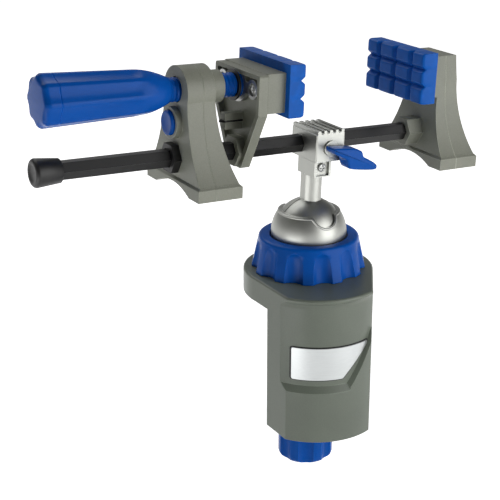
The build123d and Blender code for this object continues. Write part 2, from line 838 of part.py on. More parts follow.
def sliding_jaw_body():
    left = sliding_outer - overrun
    right = sliding_inner_foot + overrun
    crown = screw_rise + sliding_top_radius
    body = crossed(flare_outline(crown, sliding_shoulder_half, None, 0), sliding_side(0), left, right)
    inner = flare_outline(crown, sliding_shoulder_half, None, jaw_wall)
    cavity = crossed(inner, sliding_side(jaw_wall), left, right)
    body += plinth(sliding_outer - plinth_lip, sliding_inner_foot + plinth_lip)
    _, holes, bosses = jaw_screws(sliding_inner_foot - jaw_wall, sliding_outer, 1)
    for boss in bosses:
        cavity -= boss
    body -= cavity
    body += rod_x(button_boss_radius, button_boss_x, sliding_outer + jaw_wall, z=button_rise)
    body -= hex_x(bar_hole_width, sliding_outer - overrun, sliding_inner_foot + overrun)
    body -= hex_x(bar_bush_width, sliding_outer - overrun, sliding_outer + jaw_wall)
    body -= rod_x(button_radius + run_gap, button_boss_x - overrun, sliding_outer + jaw_wall, z=button_rise)
    body -= rod_x(thread_radius + run_gap, sliding_outer - overrun, sliding_seam_x, z=screw_rise)
    body -= rod_x(nut_radius, sliding_seam_x, sliding_inner_foot, z=screw_rise)
    for hole in holes:
        body -= hole
    return body


def sliding_jaw_outer(body):
    far = 2 * foot_half
    return body & box_between((button_boss_x - overrun, -far, 0), (sliding_seam_x, far, 2 * screw_rise))


def sliding_jaw_inner(body):
    far = 2 * foot_half
    return body & box_between((sliding_seam_x, -far, 0), (sliding_inner_foot + overrun, far, 2 * screw_rise))


def bar_bush():
    """Bush that guides the jaw on the bar: a collar outside and a sleeve in the jaw's wall."""
    inside = sliding_outer + jaw_wall
    bush = hex_x(hex_boss_width, bar_bush_x, sliding_outer) + hex_x(bar_bush_width, sliding_outer, inside)
    return bush - hex_x(bar_hole_width, bar_bush_x - overrun, inside + overrun)


def feed_nut():
    wall = sliding_inner_top - jaw_wall
    nut = rod_x(nut_radius, wall - nut_flange_thick, nut_face_x, z=screw_rise)
    nut += rod_x(nut_flange_radius, wall - nut_flange_thick, wall, z=screw_rise)
    return nut - rod_x(thread_radius + run_gap, sliding_outer, nut_face_x + overrun, z=screw_rise)


def lock_plate_left():
    """Lock plate's face towards the button, clear of the button at the end of its stroke."""
    return sliding_outer + jaw_wall + button_flange_thick + button_stroke + 2 * run_gap


def lock_plate():
    left = lock_plate_left()
    right = left + lock_plate_thick
    half = lock_plate_half
    low = bar_rise - lock_plate_tail
    top = screw_rise - nut_flange_radius
    plate = box_between((left, -half, low), (right, half, button_rise))
    plate += rod_x(half, left, right, z=button_rise) & box_between((left, -half, low), (right, half, top))
    return plate - hex_x(bar_hole_width, left - overrun, right + overrun)


def lock_spring():
    left = lock_plate_left() + lock_plate_thick
    spring = rod_x(spring_radius, left, left + spring_length, z=spring_rise)
    return spring - rod_x(spring_radius - spring_wire, left, left + spring_length, z=spring_rise)


def release_button():
    inside = sliding_outer + jaw_wall + run_gap
    button = rod_x(button_radius, button_face_x, inside, z=button_rise)
    return button + rod_x(button_flange_radius, inside, inside + button_flange_thick, z=button_rise)


# Moving jaw


def plate_outline(inset):
    """The plate's five-sided outline in (y, z), or the same a given rim smaller."""
    half = plate_half - inset
    foot = plate_foot_half - inset
    top = plate_top_rise - inset
    shoulder = plate_shoulder_rise + inset / 2
    low = plate_foot_rise + inset
    points = [(half, top), (-half, top), (-half, shoulder), (-foot, low), (foot, low), (half, shoulder)]
    face = Face(Wire(polygon(points)))
    return fillet(face.vertices(), plate_corner_radius)


def moving_jaw():
    rim_x = plate_face_x - plate_rim_depth
    floor_x = plate_face_x - plate_floor
    plate = extrude(Plane.YZ.offset(rim_x) * plate_outline(0), amount=plate_rim_depth, dir=(1, 0, 0))
    plate -= extrude(Plane.YZ.offset(rim_x - overrun) * plate_outline(plate_rim),
                     amount=floor_x - rim_x + overrun, dir=(1, 0, 0))
    plate += hex_x(collar_boss_width, plate_face_x - collar_boss_length, (plate_face_x + floor_x) / 2)
    plate -= hex_x(bar_hole_width, rim_x - 2 * overrun, plate_face_x + overrun)
    carrier_right = moving_face_x - pad_thick
    plate += box_between((plate_face_x, -carrier_half, carrier_bottom_rise),
                         (carrier_right, carrier_half, carrier_top_rise))
    for k in range(2):
        low = lug_rise + k * (lug_height + lug_gap)
        high = low + lug_height
        plate += box_between((floor_x - lug_length, -lug_half_y, low), (floor_x, lug_half_y, high))
    plate -= rod_x(thread_radius + run_gap, rim_x - overrun, floor_x, z=screw_rise)
    plate -= rod_x(journal_radius + run_gap, floor_x - overrun, plate_face_x + overrun, z=screw_rise)
    plate -= rod_x(carrier_bore_radius, plate_face_x, plate_face_x + carrier_bore_depth, z=screw_rise)
    for y in (-retainer_screw_y, retainer_screw_y):
        plate -= rod_x(screw_shank_radius + screw_hole_gap, floor_x, carrier_right - jaw_wall, y, screw_rise)
    return plate


def guide_blade():
    """Pointed blade between the two lugs."""
    root = plate_face_x - plate_floor
    lug_end = root - lug_length
    low = lug_rise + lug_height
    outline = [
        (root, -lug_half_y),
        (root, lug_half_y),
        (lug_end, lug_half_y),
        (lug_end - blade_point, 0),
        (lug_end, -lug_half_y),
    ]
    return upright(polygon(outline), low, low + lug_gap)


def collar_retainer():
    """Ring round the screw's collar, with a screw boss on either side, inside the plate's rim."""
    right = plate_face_x - plate_floor
    left = right - retainer_thick
    half = retainer_bridge / 2
    ring = rod_x(retainer_ring_radius, left, right, z=screw_rise)
    low = (left, -retainer_screw_y, screw_rise - half)
    ring += box_between(low, (right, retainer_screw_y, screw_rise + half))
    for y in (-retainer_screw_y, retainer_screw_y):
        ring += rod_x(retainer_boss_radius, left, right, y, screw_rise)
    far = 2 * plate_half
    ring &= box_between((left, -far, 0), (right, far, plate_top_rise - plate_rim - run_gap))
    ring -= rod_x(thread_radius + run_gap, left - overrun, right + overrun, z=screw_rise)
    for y in (-retainer_screw_y, retainer_screw_y):
        ring -= rod_x(screw_shank_radius + screw_hole_gap, left - overrun, right + overrun, y, screw_rise)
        seat = left + screw_head_height + run_gap
        ring -= rod_x(screw_head_radius + retainer_recess_gap, left - overrun, seat, y, screw_rise)
    return ring


def retainer_screws():
    seat = plate_face_x - plate_floor - retainer_thick + screw_head_height + run_gap
    tip = moving_face_x - pad_thick - jaw_wall - screw_head_height
    screws = []
    for y in (-retainer_screw_y, retainer_screw_y):
        head = rod_x(screw_head_radius, seat - screw_head_height, seat, y, screw_rise)
        screws.append(head + rod_x(screw_shank_radius, seat, tip, y, screw_rise))
    return Part() + screws


def screw_clip():
    clip = rod_x(clip_radius, clip_x, clip_x + clip_thick, z=screw_rise)
    return clip - rod_x(journal_radius, clip_x, clip_x + clip_thick, z=screw_rise)


# Handle


def thrust_ring():
    """Ring that lies in the screw's groove."""
    left = groove_x + thrust_ring_gap
    right = groove_x + groove_width - thrust_ring_gap
    ring = rod_x(thrust_ring_radius, left, right, z=screw_rise)
    return ring - rod_x(groove_neck_radius, left, right, z=screw_rise)


def grip_taper_x():
    """Place along the bar where the grip starts to draw in towards its neck."""
    return grip_left + grip_taper_share * (grip_right - grip_left)


def grip_flute_cutters():
    """Shallow flutes that follow the grip's taper and run out before its neck."""
    length = grip_taper_x() - grip_left
    lean = degrees(atan2(grip_radius - grip_mid_radius, length))
    centre = grip_radius - grip_flute_depth + grip_flute_radius
    flute = rod_x(grip_flute_radius, -overrun, length) + Pos(length, 0, 0) * Sphere(grip_flute_radius)
    leaned = Location((grip_left, 0, centre), (0, lean, 0)) * flute
    turns = [360 * (i + grip_flute_turn_share) / grip_flutes for i in range(grip_flutes)]
    return [Location((0, 0, screw_rise), (turn, 0, 0)) * leaned for turn in turns]


def handle_screw():
    left = grip_left + end_cap_length
    cap_share = end_cap_length / (grip_taper_x() - grip_left)
    seam_radius = grip_radius - cap_share * (grip_radius - grip_mid_radius)
    shoulder = plate_face_x - plate_floor - run_gap
    neck_end = grip_right + grip_neck_radius - thread_radius
    profile = [
        Line((0, left), (seam_radius, left)),
        Line((seam_radius, left), (grip_mid_radius, grip_taper_x())),
        TangentArc((grip_mid_radius, grip_taper_x()), (grip_neck_radius, grip_right),
                   tangent=(grip_mid_radius - grip_radius, grip_taper_x() - grip_left)),
        Line((grip_neck_radius, grip_right), (thread_radius, neck_end)),
        Line((thread_radius, neck_end), (thread_radius, groove_x)),
        Line((thread_radius, groove_x), (groove_neck_radius, groove_x)),
        Line((groove_neck_radius, groove_x), (groove_neck_radius, groove_x + groove_width)),
        Line((groove_neck_radius, groove_x + groove_width), (thread_radius, groove_x + groove_width)),
        Line((thread_radius, groove_x + groove_width), (thread_radius, shoulder)),
        Line((thread_radius, shoulder), (journal_radius, shoulder)),
        Line((journal_radius, shoulder), (journal_radius, journal_end_x)),
        Line((journal_radius, journal_end_x), (0, journal_end_x)),
        Line((0, journal_end_x), (0, left)),
    ]
    screw = turned_x(profile, screw_rise)
    screw -= grip_flute_cutters()
    return screw - rod_x(end_cap_spigot_radius, left - overrun, left + end_cap_spigot_length, z=screw_rise)


def handle_end_cap():
    left = grip_left + end_cap_length
    cap_share = end_cap_length / (grip_taper_x() - grip_left)
    seam_radius = grip_radius - cap_share * (grip_radius - grip_mid_radius)
    dome_start = (grip_radius - end_cap_dome, grip_left)
    dome_end = (grip_radius, grip_left + end_cap_dome)
    profile = [
        Line((0, grip_left), dome_start),
        TangentArc(dome_start, dome_end, tangent=(1, 0)),
        Line(dome_end, (seam_radius, left)),
        Line((seam_radius, left), (0, left)),
        Line((0, left), (0, grip_left)),
    ]
    cap = turned_x(profile, screw_rise)
    cap -= grip_flute_cutters()
    return cap + rod_x(end_cap_spigot_radius, left - overrun, left + end_cap_spigot_length, z=screw_rise)


# Assembly: pieces of the base stand in the part's frame, pieces of the head are turned into it

fixed_body = fixed_jaw_body()
sliding_body = sliding_jaw_body()
base_pieces = {
    "clamp_frame": clamp_frame(),
    "column_cover": column_cover(),
    "badge_plate": badge_plate(),
    "upper_table_pad": upper_table_pad(),
    "ball_seat": ball_seat(),
    "screw_bush": screw_bush(),
    "lock_ring": lock_ring(),
    "socket_cup": socket_cup(),
    "clamp_shoe": clamp_shoe(),
    "shoe_pad": shoe_pad(),
    "clamp_screw": clamp_screw(),
    "clamp_knob": clamp_knob(),
    "knob_pin": knob_pin(),
}
head_pieces = {
    "ball_stud": ball_stud(),
    "clamp_block": clamp_block(),
    "block_screw": block_screw(),
    "bar_shoe": bar_shoe(),
    "lever_stud": lever_stud(),
    "lever_washer": lever_washer(),
    "wing_lever": wing_lever(),
    "hex_bar": hex_bar(),
    "bar_end_cap": bar_end_cap(),
    "fixed_jaw_inner": fixed_jaw_inner(fixed_body),
    "fixed_jaw_outer": fixed_jaw_outer(fixed_body),
    "fixed_jaw_pin": fixed_jaw_pin(),
    "fixed_jaw_screws": Part() + jaw_screws(fixed_outer_foot - jaw_wall, fixed_inner_foot, 1)[0],
    "fixed_jaw_pad": jaw_pad(fixed_face_x, 1),
    "sliding_jaw_outer": sliding_jaw_outer(sliding_body),
    "sliding_jaw_inner": sliding_jaw_inner(sliding_body),
    "sliding_jaw_screws": Part() + jaw_screws(sliding_inner_foot - jaw_wall, sliding_outer, 1)[0],
    "bar_bush": bar_bush(),
    "feed_nut": feed_nut(),
    "lock_plate": lock_plate(),
    "lock_spring": lock_spring(),
    "release_button": release_button(),
    "moving_jaw": moving_jaw(),
    "guide_blade": guide_blade(),
    "collar_retainer": collar_retainer(),
    "retainer_screws": retainer_screws(),
    "screw_clip": screw_clip(),
    "moving_jaw_pad": jaw_pad(moving_face_x, -1),
    "handle_screw": handle_screw(),
    "handle_end_cap": handle_end_cap(),
    "thrust_ring": thrust_ring(),
}

os.makedirs("parts", exist_ok=True)
for name, piece in base_pieces.items():
    export_step(FRAME * piece, f"parts/{name}.step")
for name, piece in head_pieces.items():
    export_step(FRAME * HEAD * piece, f"parts/{name}.step")
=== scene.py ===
"""Looks of the universal vise: a finish for every solid, and finer pieces for what shows most."""
import json
from math import asin, atan2, cos, pi, radians, sin, sqrt, tau

import bpy
from mathutils import Matrix, Vector


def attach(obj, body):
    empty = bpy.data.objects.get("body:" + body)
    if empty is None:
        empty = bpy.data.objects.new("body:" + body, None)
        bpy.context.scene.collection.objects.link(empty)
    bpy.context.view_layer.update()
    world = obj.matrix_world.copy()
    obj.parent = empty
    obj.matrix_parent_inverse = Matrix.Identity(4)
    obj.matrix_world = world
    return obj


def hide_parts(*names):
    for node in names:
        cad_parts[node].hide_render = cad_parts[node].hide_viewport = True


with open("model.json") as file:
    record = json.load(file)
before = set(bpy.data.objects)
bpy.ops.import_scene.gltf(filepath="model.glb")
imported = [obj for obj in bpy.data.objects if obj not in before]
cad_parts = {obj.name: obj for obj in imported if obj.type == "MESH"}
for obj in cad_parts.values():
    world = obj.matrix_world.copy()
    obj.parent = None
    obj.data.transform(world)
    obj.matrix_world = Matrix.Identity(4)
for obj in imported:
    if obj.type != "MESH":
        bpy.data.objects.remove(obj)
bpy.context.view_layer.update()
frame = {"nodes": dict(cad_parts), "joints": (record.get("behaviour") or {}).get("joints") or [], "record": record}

# Camera of the photograph
PICTURE = 500               # side of the picture in pixels
FOCAL_PX = 1305.0           # focal length in pixels
AZIMUTH = radians(-13.0)
ELEVATION = radians(20.4)
BALL_PX = (308.6, 230.7)    # place of the ball's centre in the picture
BALL_DEPTH = 0.9596         # its distance along the view, in metres
SENSOR = 36.0               # width of the sensor in millimetres

# Frames in millimetres: the part's own, and two at the ball's centre that are read from the joints
MM = 0.001
PART_MM = Matrix.Scale(MM, 4)
joints = {joint["name"]: joint for joint in frame["joints"]}
bar_axis = Vector(joints["bar_slide"]["axis"]).normalized()
lever_axis = Vector(joints["lever_turn"]["axis"]).normalized()
upright = Vector((0, 0, 1))
ball_centre = Vector(joints["head_tilt"]["pos_m"])


def at_ball(x_axis, y_axis):
    """Frame in millimetres at the ball's centre, from its X and Y axes."""
    place = Matrix((x_axis, y_axis, x_axis.cross(y_axis))).transposed().to_4x4()
    place.translation = ball_centre
    return place @ PART_MM


# The head's +X runs along the bar and its +Z up the stem; the cup is swivelled with it but stands upright
HEAD_MM = at_ball(bar_axis, lever_axis)
CUP_MM = at_ball(lever_axis.cross(upright), lever_axis)


# Shader building blocks


class Value:
    """A number or shader on a node's socket; sums of such values add Math nodes."""

    def __init__(self, nodes, socket):
        self.nodes = nodes
        self.socket = socket

    def math(self, operation, first, second):
        return self.nodes.node("ShaderNodeMath", {"operation": operation}, {0: first, 1: second})

    def __add__(self, other):
        return self.math("ADD", self, other)

    __radd__ = __add__

    def __sub__(self, other):
        return self.math("SUBTRACT", self, other)

    def __rsub__(self, other):
        return self.math("SUBTRACT", other, self)

    def __mul__(self, other):
        return self.math("MULTIPLY", self, other)

    __rmul__ = __mul__


class Nodes:
    """The node tree of a material or of the world."""

    def __init__(self, tree):
        self.tree = tree

    def node(self, kind, settings, sockets, out=0):
        """Node of a kind, with its settings made first and then its sockets' values or links."""
        made = self.tree.nodes.new(kind)
        for key, value in settings.items():
            if key == "stops":
                while len(made.color_ramp.elements) < len(value):
                    made.color_ramp.elements.new(1.0)
                for element, (position, level) in zip(made.color_ramp.elements, value):
                    element.position = position
                    element.color = (level, level, level, 1.0)
            else:
                setattr(made, key, value)
        for key, value in sockets.items():
            if isinstance(value, Value):
                self.tree.links.new(value.socket, made.inputs[key])
            else:
                made.inputs[key].default_value = value
        return Value(self, made.outputs[out])

    def ramp(self, value, *stops):
        """Grey level of a value, from stops of (value, level)."""
        return self.node("ShaderNodeValToRGB", {"stops": stops}, {"Fac": value})

    def rise(self, value, low, high):
        """0 up to a low value, 1 from a high one on."""
        return self.ramp(value, (low, 0.0), (high, 1.0))

    def ray(self, kind):
        return self.node("ShaderNodeLightPath", {}, {}, kind)

    def mirrored(self):
        """1 for rays that reach the surface by way of metal or glass."""
        return self.ray("Is Glossy Ray") + self.ray("Is Transmission Ray")

    def either(self, share, first, second):
        return self.node("ShaderNodeMixShader", {}, {0: share, 1: first, 2: second})

    def show(self, output, shader):
        self.tree.links.new(shader.socket, self.tree.nodes[output].inputs["Surface"])


class Finish(Nodes):
    """One material with its Principled shader and the nodes that feed it."""

    def __init__(self, name, constants=()):
        self.material = bpy.data.materials.new(name)
        self.material.use_nodes = True
        super().__init__(self.material.node_tree)
        self.shader = self.tree.nodes["Principled BSDF"]
        self.points = None
        for key, value in dict(constants).items():
            self.shader.inputs[key].default_value = value

    def feed(self, socket, value):
        self.tree.links.new(value.socket, self.shader.inputs[socket])

    def place(self):
        if self.points is None:
            self.points = self.node("ShaderNodeTexCoord", {}, {}, "Object")
        return self.points

    def noise(self, size, detail=2.0, stretch=None):
        """Cloudy values about 0.5, with features of about the given size in metres."""
        points = self.place()
        if stretch:
            points = self.node("ShaderNodeVectorMath", {"operation": "MULTIPLY"}, {0: points, 1: stretch})
        return self.node("ShaderNodeTexNoise", {}, {"Vector": points, "Scale": 1.0 / size, "Detail": detail})

    def mix(self, share, first, second):
        return self.node("ShaderNodeMix", {"data_type": "RGBA"}, {0: share, 6: first, 7: second}, 2)

    def soft_edges(self, radius):
        """Normal that rounds the edges, and a mask that is 1 along them."""
        rounded = self.node("ShaderNodeBevel", {"samples": 6}, {"Radius": radius})
        plain = self.node("ShaderNodeNewGeometry", {}, {}, "Normal")
        ways = {0: rounded, 1: plain}
        facing = self.node("ShaderNodeVectorMath", {"operation": "DOT_PRODUCT"}, ways, "Value")
        return rounded, self.rise(1.0 - facing, low=0.0, high=0.12)

    def bump(self, height, strength, distance, normal=None):
        sockets = {"Height": height, "Strength": strength, "Distance": distance}
        if normal:
            sockets["Normal"] = normal
        return self.node("ShaderNodeBump", {}, sockets)


def rgb(red, green, blue):
    """Linear colour from the display values of a picture."""
    def linear(level):
        share = level / 255.0
        return share / 12.92 if share <= 0.04045 else ((share + 0.055) / 1.055) ** 2.4
    return (linear(red), linear(green), linear(blue), 1.0)


def lighter(colour, share):
    """Colour made brighter by a share of itself, or darker by a negative one."""
    return tuple(level * (1.0 + share) for level in colour[:3]) + (1.0,)


# Finishes, with the sizes and depths of their marks in metres

FLOW_MARKS = 0.03           # clouds in a moulding
FINE_GRAIN = 0.0006
FINE_GRAIN_DEPTH = 0.00003
COARSE_GRAIN = 0.0008
COARSE_GRAIN_DEPTH = 0.00006
SCUFFS = 0.006
PEBBLE = 0.0005
PEBBLE_DEPTH = 0.00004
CAST_CLOUDS = 0.012
RUBBING = 0.0012            # fine marks in a tumbled casting
RUBBING_DEPTH = 0.00004
WEAR = 0.004
WEAR_STRETCH = (0.15, 1.0, 1.0)
BRUSHING = 0.0004
BRUSHING_DEPTH = 0.00002
BRUSHING_STRETCH = (0.02, 0.3, 1.0)
SCREW_STRETCH = (1.0, 1.0, 0.2)
BROAD_EDGE = 0.0009         # widths over which edges are rounded
MOULDED_EDGE = 0.0008
CAST_EDGE = 0.0006
THIN_EDGE = 0.0005
CRISP_EDGE = 0.0003


def moulded(name, colour, roughness, edge, gloss, grain=FINE_GRAIN, grain_depth=FINE_GRAIN_DEPTH):
    """Moulded plastic: fine spark-eroded grain, faint flow marks, and a painted highlight that makes the edges
    paler.
    """
    finish = Finish(name, {"Specular IOR Level": gloss})
    normal, edges = finish.soft_edges(edge)
    flow = finish.noise(FLOW_MARKS, detail=3.0)
    fine = finish.noise(grain, detail=1.0)
    marks = finish.rise(flow, low=0.35, high=0.65)
    speckle = finish.rise(fine, low=0.3, high=0.7)
    tone = finish.mix(0.45 * marks + 0.55 * speckle, lighter(colour, -0.09), lighter(colour, 0.09))
    # Painted highlight: the edges are mixed towards a paler colour, by a share that follows the flow marks.
    painted_edge_highlight = finish.mix(edges * (0.3 + flow), tone, lighter(colour, 0.9))
    finish.feed("Base Color", painted_edge_highlight)
    finish.feed("Roughness", roughness + 0.10 * flow - 0.08 * edges)
    finish.feed("Normal", finish.bump(fine, strength=0.5, distance=grain_depth, normal=normal))
    return finish.material


def soft_moulding(name, colour, roughness):
    """Firm jaw pad: a fine pebble, and paler scuffs here and there."""
    finish = Finish(name, {"Specular IOR Level": 0.14})
    scuffs = finish.noise(SCUFFS, detail=4.0)
    pebble = finish.noise(PEBBLE, detail=2.0)
    tone = finish.mix(finish.rise(scuffs, low=0.45, high=0.8), colour, lighter(colour, 0.25))
    finish.feed("Base Color", tone)
    finish.feed("Roughness", roughness + 0.14 * scuffs)
    finish.feed("Normal", finish.bump(pebble, strength=0.4, distance=PEBBLE_DEPTH))
    return finish.material


def cast_metal(name, colour, roughness, edge, streak=None):
    """Tumbled die casting: soft cloudy gloss with fine rubbing marks, and a painted highlight that makes the edges
    bright.
    """
    finish = Finish(name, {"Metallic": 1.0})
    normal, edges = finish.soft_edges(edge)
    cloud = finish.noise(CAST_CLOUDS, detail=4.0)
    marks = finish.noise(RUBBING, detail=3.0, stretch=streak)
    tone = finish.mix(cloud, lighter(colour, -0.08), lighter(colour, 0.05))
    # Painted highlight: the edges are mixed towards a brighter colour.
    finish.feed("Base Color", finish.mix(edges * 0.9, tone, lighter(colour, 0.6)))
    finish.feed("Roughness", roughness + 0.08 * cloud - 0.06 * edges)
    finish.feed("Normal", finish.bump(marks, strength=0.12, distance=RUBBING_DEPTH, normal=normal))
    return finish.material


def blackened(name, colour, roughness, metallic):
    """Black oxide or black moulding: faint lengthwise wear in the roughness, and painted highlights along the
    edges that follow the same noise.
    """
    finish = Finish(name, {"Metallic": metallic, "Specular IOR Level": 0.4})
    normal, edges = finish.soft_edges(THIN_EDGE)
    wear_and_sheen = finish.noise(WEAR, detail=4.0, stretch=WEAR_STRETCH)
    fine = finish.noise(FINE_GRAIN, detail=2.0)
    # Painted highlight: the edges are made up to six times brighter, more where the lengthwise noise is high.
    tone = finish.mix(edges * (0.4 + wear_and_sheen), colour, lighter(colour, 5.0))
    finish.feed("Base Color", tone)
    finish.feed("Roughness", roughness + 0.15 * wear_and_sheen)
    finish.feed("Normal", finish.bump(fine, strength=0.15, distance=FINE_GRAIN_DEPTH, normal=normal))
    return finish.material


def brushed(name, colour):
    """Brushed plate: streaks along the plate's length."""
    finish = Finish(name, {"Metallic": 1.0})
    normal, edges = finish.soft_edges(CRISP_EDGE)
    streaks = finish.noise(BRUSHING, detail=4.0, stretch=BRUSHING_STRETCH)
    finish.feed("Base Color", finish.mix(streaks, lighter(colour, -0.12), lighter(colour, 0.08)))
    finish.feed("Roughness", 0.28 + 0.16 * streaks - 0.05 * edges)
    finish.feed("Normal", finish.bump(streaks, strength=0.2, distance=BRUSHING_DEPTH, normal=normal))
    return finish.material


HOUSING = rgb(108, 115, 104)
JAW = rgb(134, 136, 124)
BLUE = rgb(6, 82, 172)
PAD_BLUE = rgb(6, 88, 178)
ALLOY = rgb(166, 167, 162)
SILVER = rgb(190, 193, 193)
BLACK_OXIDE = rgb(26, 26, 26)
BLACK_MOULDING = rgb(20, 20, 20)
STEEL = rgb(176, 177, 175)
NYLON = rgb(226, 224, 214)
RUBBER = rgb(34, 34, 35)
BRASS = rgb(206, 172, 104)
finishes = {
    "housing_grey": moulded("housing_grey", HOUSING, roughness=0.30, edge=BROAD_EDGE, gloss=0.4),
    "jaw_grey": moulded("jaw_grey", JAW, roughness=0.38, edge=MOULDED_EDGE, gloss=0.35,
                        grain=COARSE_GRAIN, grain_depth=COARSE_GRAIN_DEPTH),
    "blue": moulded("blue", BLUE, roughness=0.20, edge=MOULDED_EDGE, gloss=0.1),
    "soft_blue": soft_moulding("soft_blue", PAD_BLUE, roughness=0.34),
    "cast_alloy": cast_metal("cast_alloy", ALLOY, roughness=0.36, edge=CAST_EDGE),
    "badge_silver": brushed("badge_silver", SILVER),
    "black_steel": blackened("black_steel", BLACK_OXIDE, roughness=0.30, metallic=0.4),
    "black_plastic": blackened("black_plastic", BLACK_MOULDING, roughness=0.38, metallic=0.0),
    "steel": cast_metal("steel", STEEL, roughness=0.36, edge=CRISP_EDGE, streak=SCREW_STRETCH),
    "nylon": moulded("nylon", NYLON, roughness=0.45, edge=THIN_EDGE, gloss=0.4),
    "pad_black": soft_moulding("pad_black", RUBBER, roughness=0.45),
    "brass": cast_metal("brass", BRASS, roughness=0.26, edge=CRISP_EDGE),
}

for entry in frame["record"]["subparts"]:
    solid = frame["nodes"][entry["node"]]
    solid.data.materials.clear()
    solid.data.materials.append(finishes[entry["material_slot"]])


# Mesh building blocks, in millimetres

SHARP_ANGLE = radians(40)
ROUND = 64                  # points round a turned piece
THREAD_STEPS = 10           # rings to each turn of a thread
THREAD_SLOPE = 1.6          # steepness of a thread's flanks
THREAD_FLAT = 0.3           # width of its crest


def measure(node, place):
    """Lowest and highest corner of a solid in millimetres, in the axes of place."""
    inside = place.inverted()
    points = [inside @ vertex.co for vertex in frame["nodes"][node].data.vertices]
    low_corner = Vector([min(point[i] for point in points) for i in range(3)])
    high_corner = Vector([max(point[i] for point in points) for i in range(3)])
    return low_corner, high_corner


def skin(rings, closed=False):
    """Faces over a row of rings of as many points each; its ends are capped, or joined if it is closed."""
    count = len(rings[0])
    vertices = [point for ring in rings for point in ring]
    last = len(rings) - 1
    faces = []
    for row in range(len(rings) if closed else last):
        start = row * count
        above = 0 if row == last else start + count
        for k in range(count):
            after = (k + 1) % count
            faces.append((start + k, start + after, above + after, above + k))
    if not closed:
        faces.append(tuple(reversed(range(count))))
        faces.append(tuple(range(last * count, len(vertices))))
    return vertices, faces


def joined(*shapes):
    """One shape from several that stay separate shells."""
    vertices = []
    faces = []
    for points, sides in shapes:
        start = len(vertices)
        vertices.extend(points)
        faces.extend(tuple(start + k for k in side) for side in sides)
    return vertices, faces


def moved(shape, place):
    """Shape carried to a place."""
    vertices, faces = shape
    return [place @ Vector(point) for point in vertices], faces


def piece(name, shape, place, slot, body, *solids):
    """Object made from a shape, riding on a body in place of the solids that it shows."""
    vertices, faces = moved(shape, place)
    mesh = bpy.data.meshes.new(name)
    mesh.from_pydata(vertices, [], faces)
    mesh.validate()
    made = bpy.data.objects.new(name, mesh)
    bpy.context.collection.objects.link(made)
    bpy.context.view_layer.objects.active = made
    made.select_set(True)
    bpy.ops.object.mode_set(mode="EDIT")
    bpy.ops.mesh.select_all(action="SELECT")
    bpy.ops.mesh.normals_make_consistent(inside=False)
    bpy.ops.object.mode_set(mode="OBJECT")
    made.select_set(False)
    mesh.shade_smooth()
    mesh.set_sharp_from_angle(angle=SHARP_ANGLE)
    mesh.materials.append(finishes[slot])
    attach(made, body)
    if solids:
        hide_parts(*solids)


def ring_z(height, radius, count=ROUND, shape=None):
    """Ring about the Z axis; shape takes an angle and gives a change of radius."""
    ring = []
    for k in range(count):
        angle = tau * k / count
        reach = radius + (shape(angle) if shape else 0.0)
        ring.append((reach * cos(angle), reach * sin(angle), height))
    return ring


def turned(profile, closed=False):
    """Turned piece about the Z axis, from (height, radius) pairs."""
    return skin([ring_z(height, radius) for height, radius in profile], closed)


def along_x(x, z):
    """Place that stands a piece's Z axis along the bar, at a given place and height of the head."""
    return HEAD_MM @ Matrix.Translation((x, 0, z)) @ Matrix.Rotation(pi / 2, 4, "Y")


def quarter(count):
    """Shares (along, across) of a quarter round from its start to its end."""
    return [(1.0 - cos(pi / 2 * k / count), sin(pi / 2 * k / count)) for k in range(count + 1)]


def thread(start, end, radius, depth, pitch):
    """Right-hand screw thread about the Z axis as one skin, whose radius runs in and out along a helix."""
    steps = int((end - start) / pitch * THREAD_STEPS)
    rings = []
    for row in range(steps + 1):
        at = start + (end - start) * row / steps
        run_out = min(1.0, (at - start) / pitch, (end - at) / pitch)

        def dip(angle, at=at, run_out=run_out):
            share = (at / pitch - angle / tau) % 1.0
            flank = THREAD_SLOPE * abs(2.0 * share - 1.0) - THREAD_FLAT
            return -depth * run_out * min(1.0, max(0.0, flank))
        rings.append(ring_z(at, radius, ROUND, dip))
    return skin(rings)


# Handle: fluted grip, its end cap and the feed screw, drawn along the bar from the ball's axis

FLUTES = 8
FLUTE_POINTS = 20           # points from one flute to the next
FLUTE_DEPTH = 1.5
FLUTE_HALF = 0.40           # half a flute's width, as a share of the distance between flutes
FLUTE_FADE = 14.0           # length over which the flutes run out
GRIP_STATIONS = 44
GRIP_RADIUS = 17.9
TAPER_RADIUS = 15.6
NECK_RADIUS = 8.9
NECK_X = -119.0
TAPER_SHARE = 0.72
CAP_LENGTH = 11.0
CAP_ROUND = 4.2
CAP_ROUND_STEPS = 10
SEAM_CHAMFER = 0.35
THREAD_RADIUS = 8.4
THREAD_DEPTH = 0.9
FEED_PITCH = 3.0
GROOVE_X = -69.6
GROOVE_WIDTH = 2.0
GROOVE_RADIUS = 7.3
COLLAR_END_X = -61.6
COLLAR_ROUND = 0.5
cap_corner, cap_far_corner = measure("handle_end_cap", HEAD_MM)
SCREW_RISE = (cap_corner.z + cap_far_corner.z) / 2
GRIP_LEFT = cap_corner.x
TAPER_X = GRIP_LEFT + TAPER_SHARE * (NECK_X - GRIP_LEFT)
SEAM_X = GRIP_LEFT + CAP_LENGTH
THREAD_X = NECK_X + NECK_RADIUS - THREAD_RADIUS
SCREW_AXIS = along_x(0, SCREW_RISE)


def grip_radius(x):
    """Radius along the grip: a slight taper, then a curve down to the neck."""
    slope = (GRIP_RADIUS - TAPER_RADIUS) / (TAPER_X - GRIP_LEFT)
    if x <= TAPER_X:
        return GRIP_RADIUS - slope * (x - GRIP_LEFT)
    run = x - TAPER_X
    whole = NECK_X - TAPER_X
    curve = (TAPER_RADIUS - NECK_RADIUS - slope * whole) / whole ** 2
    return TAPER_RADIUS - slope * run - curve * run ** 2


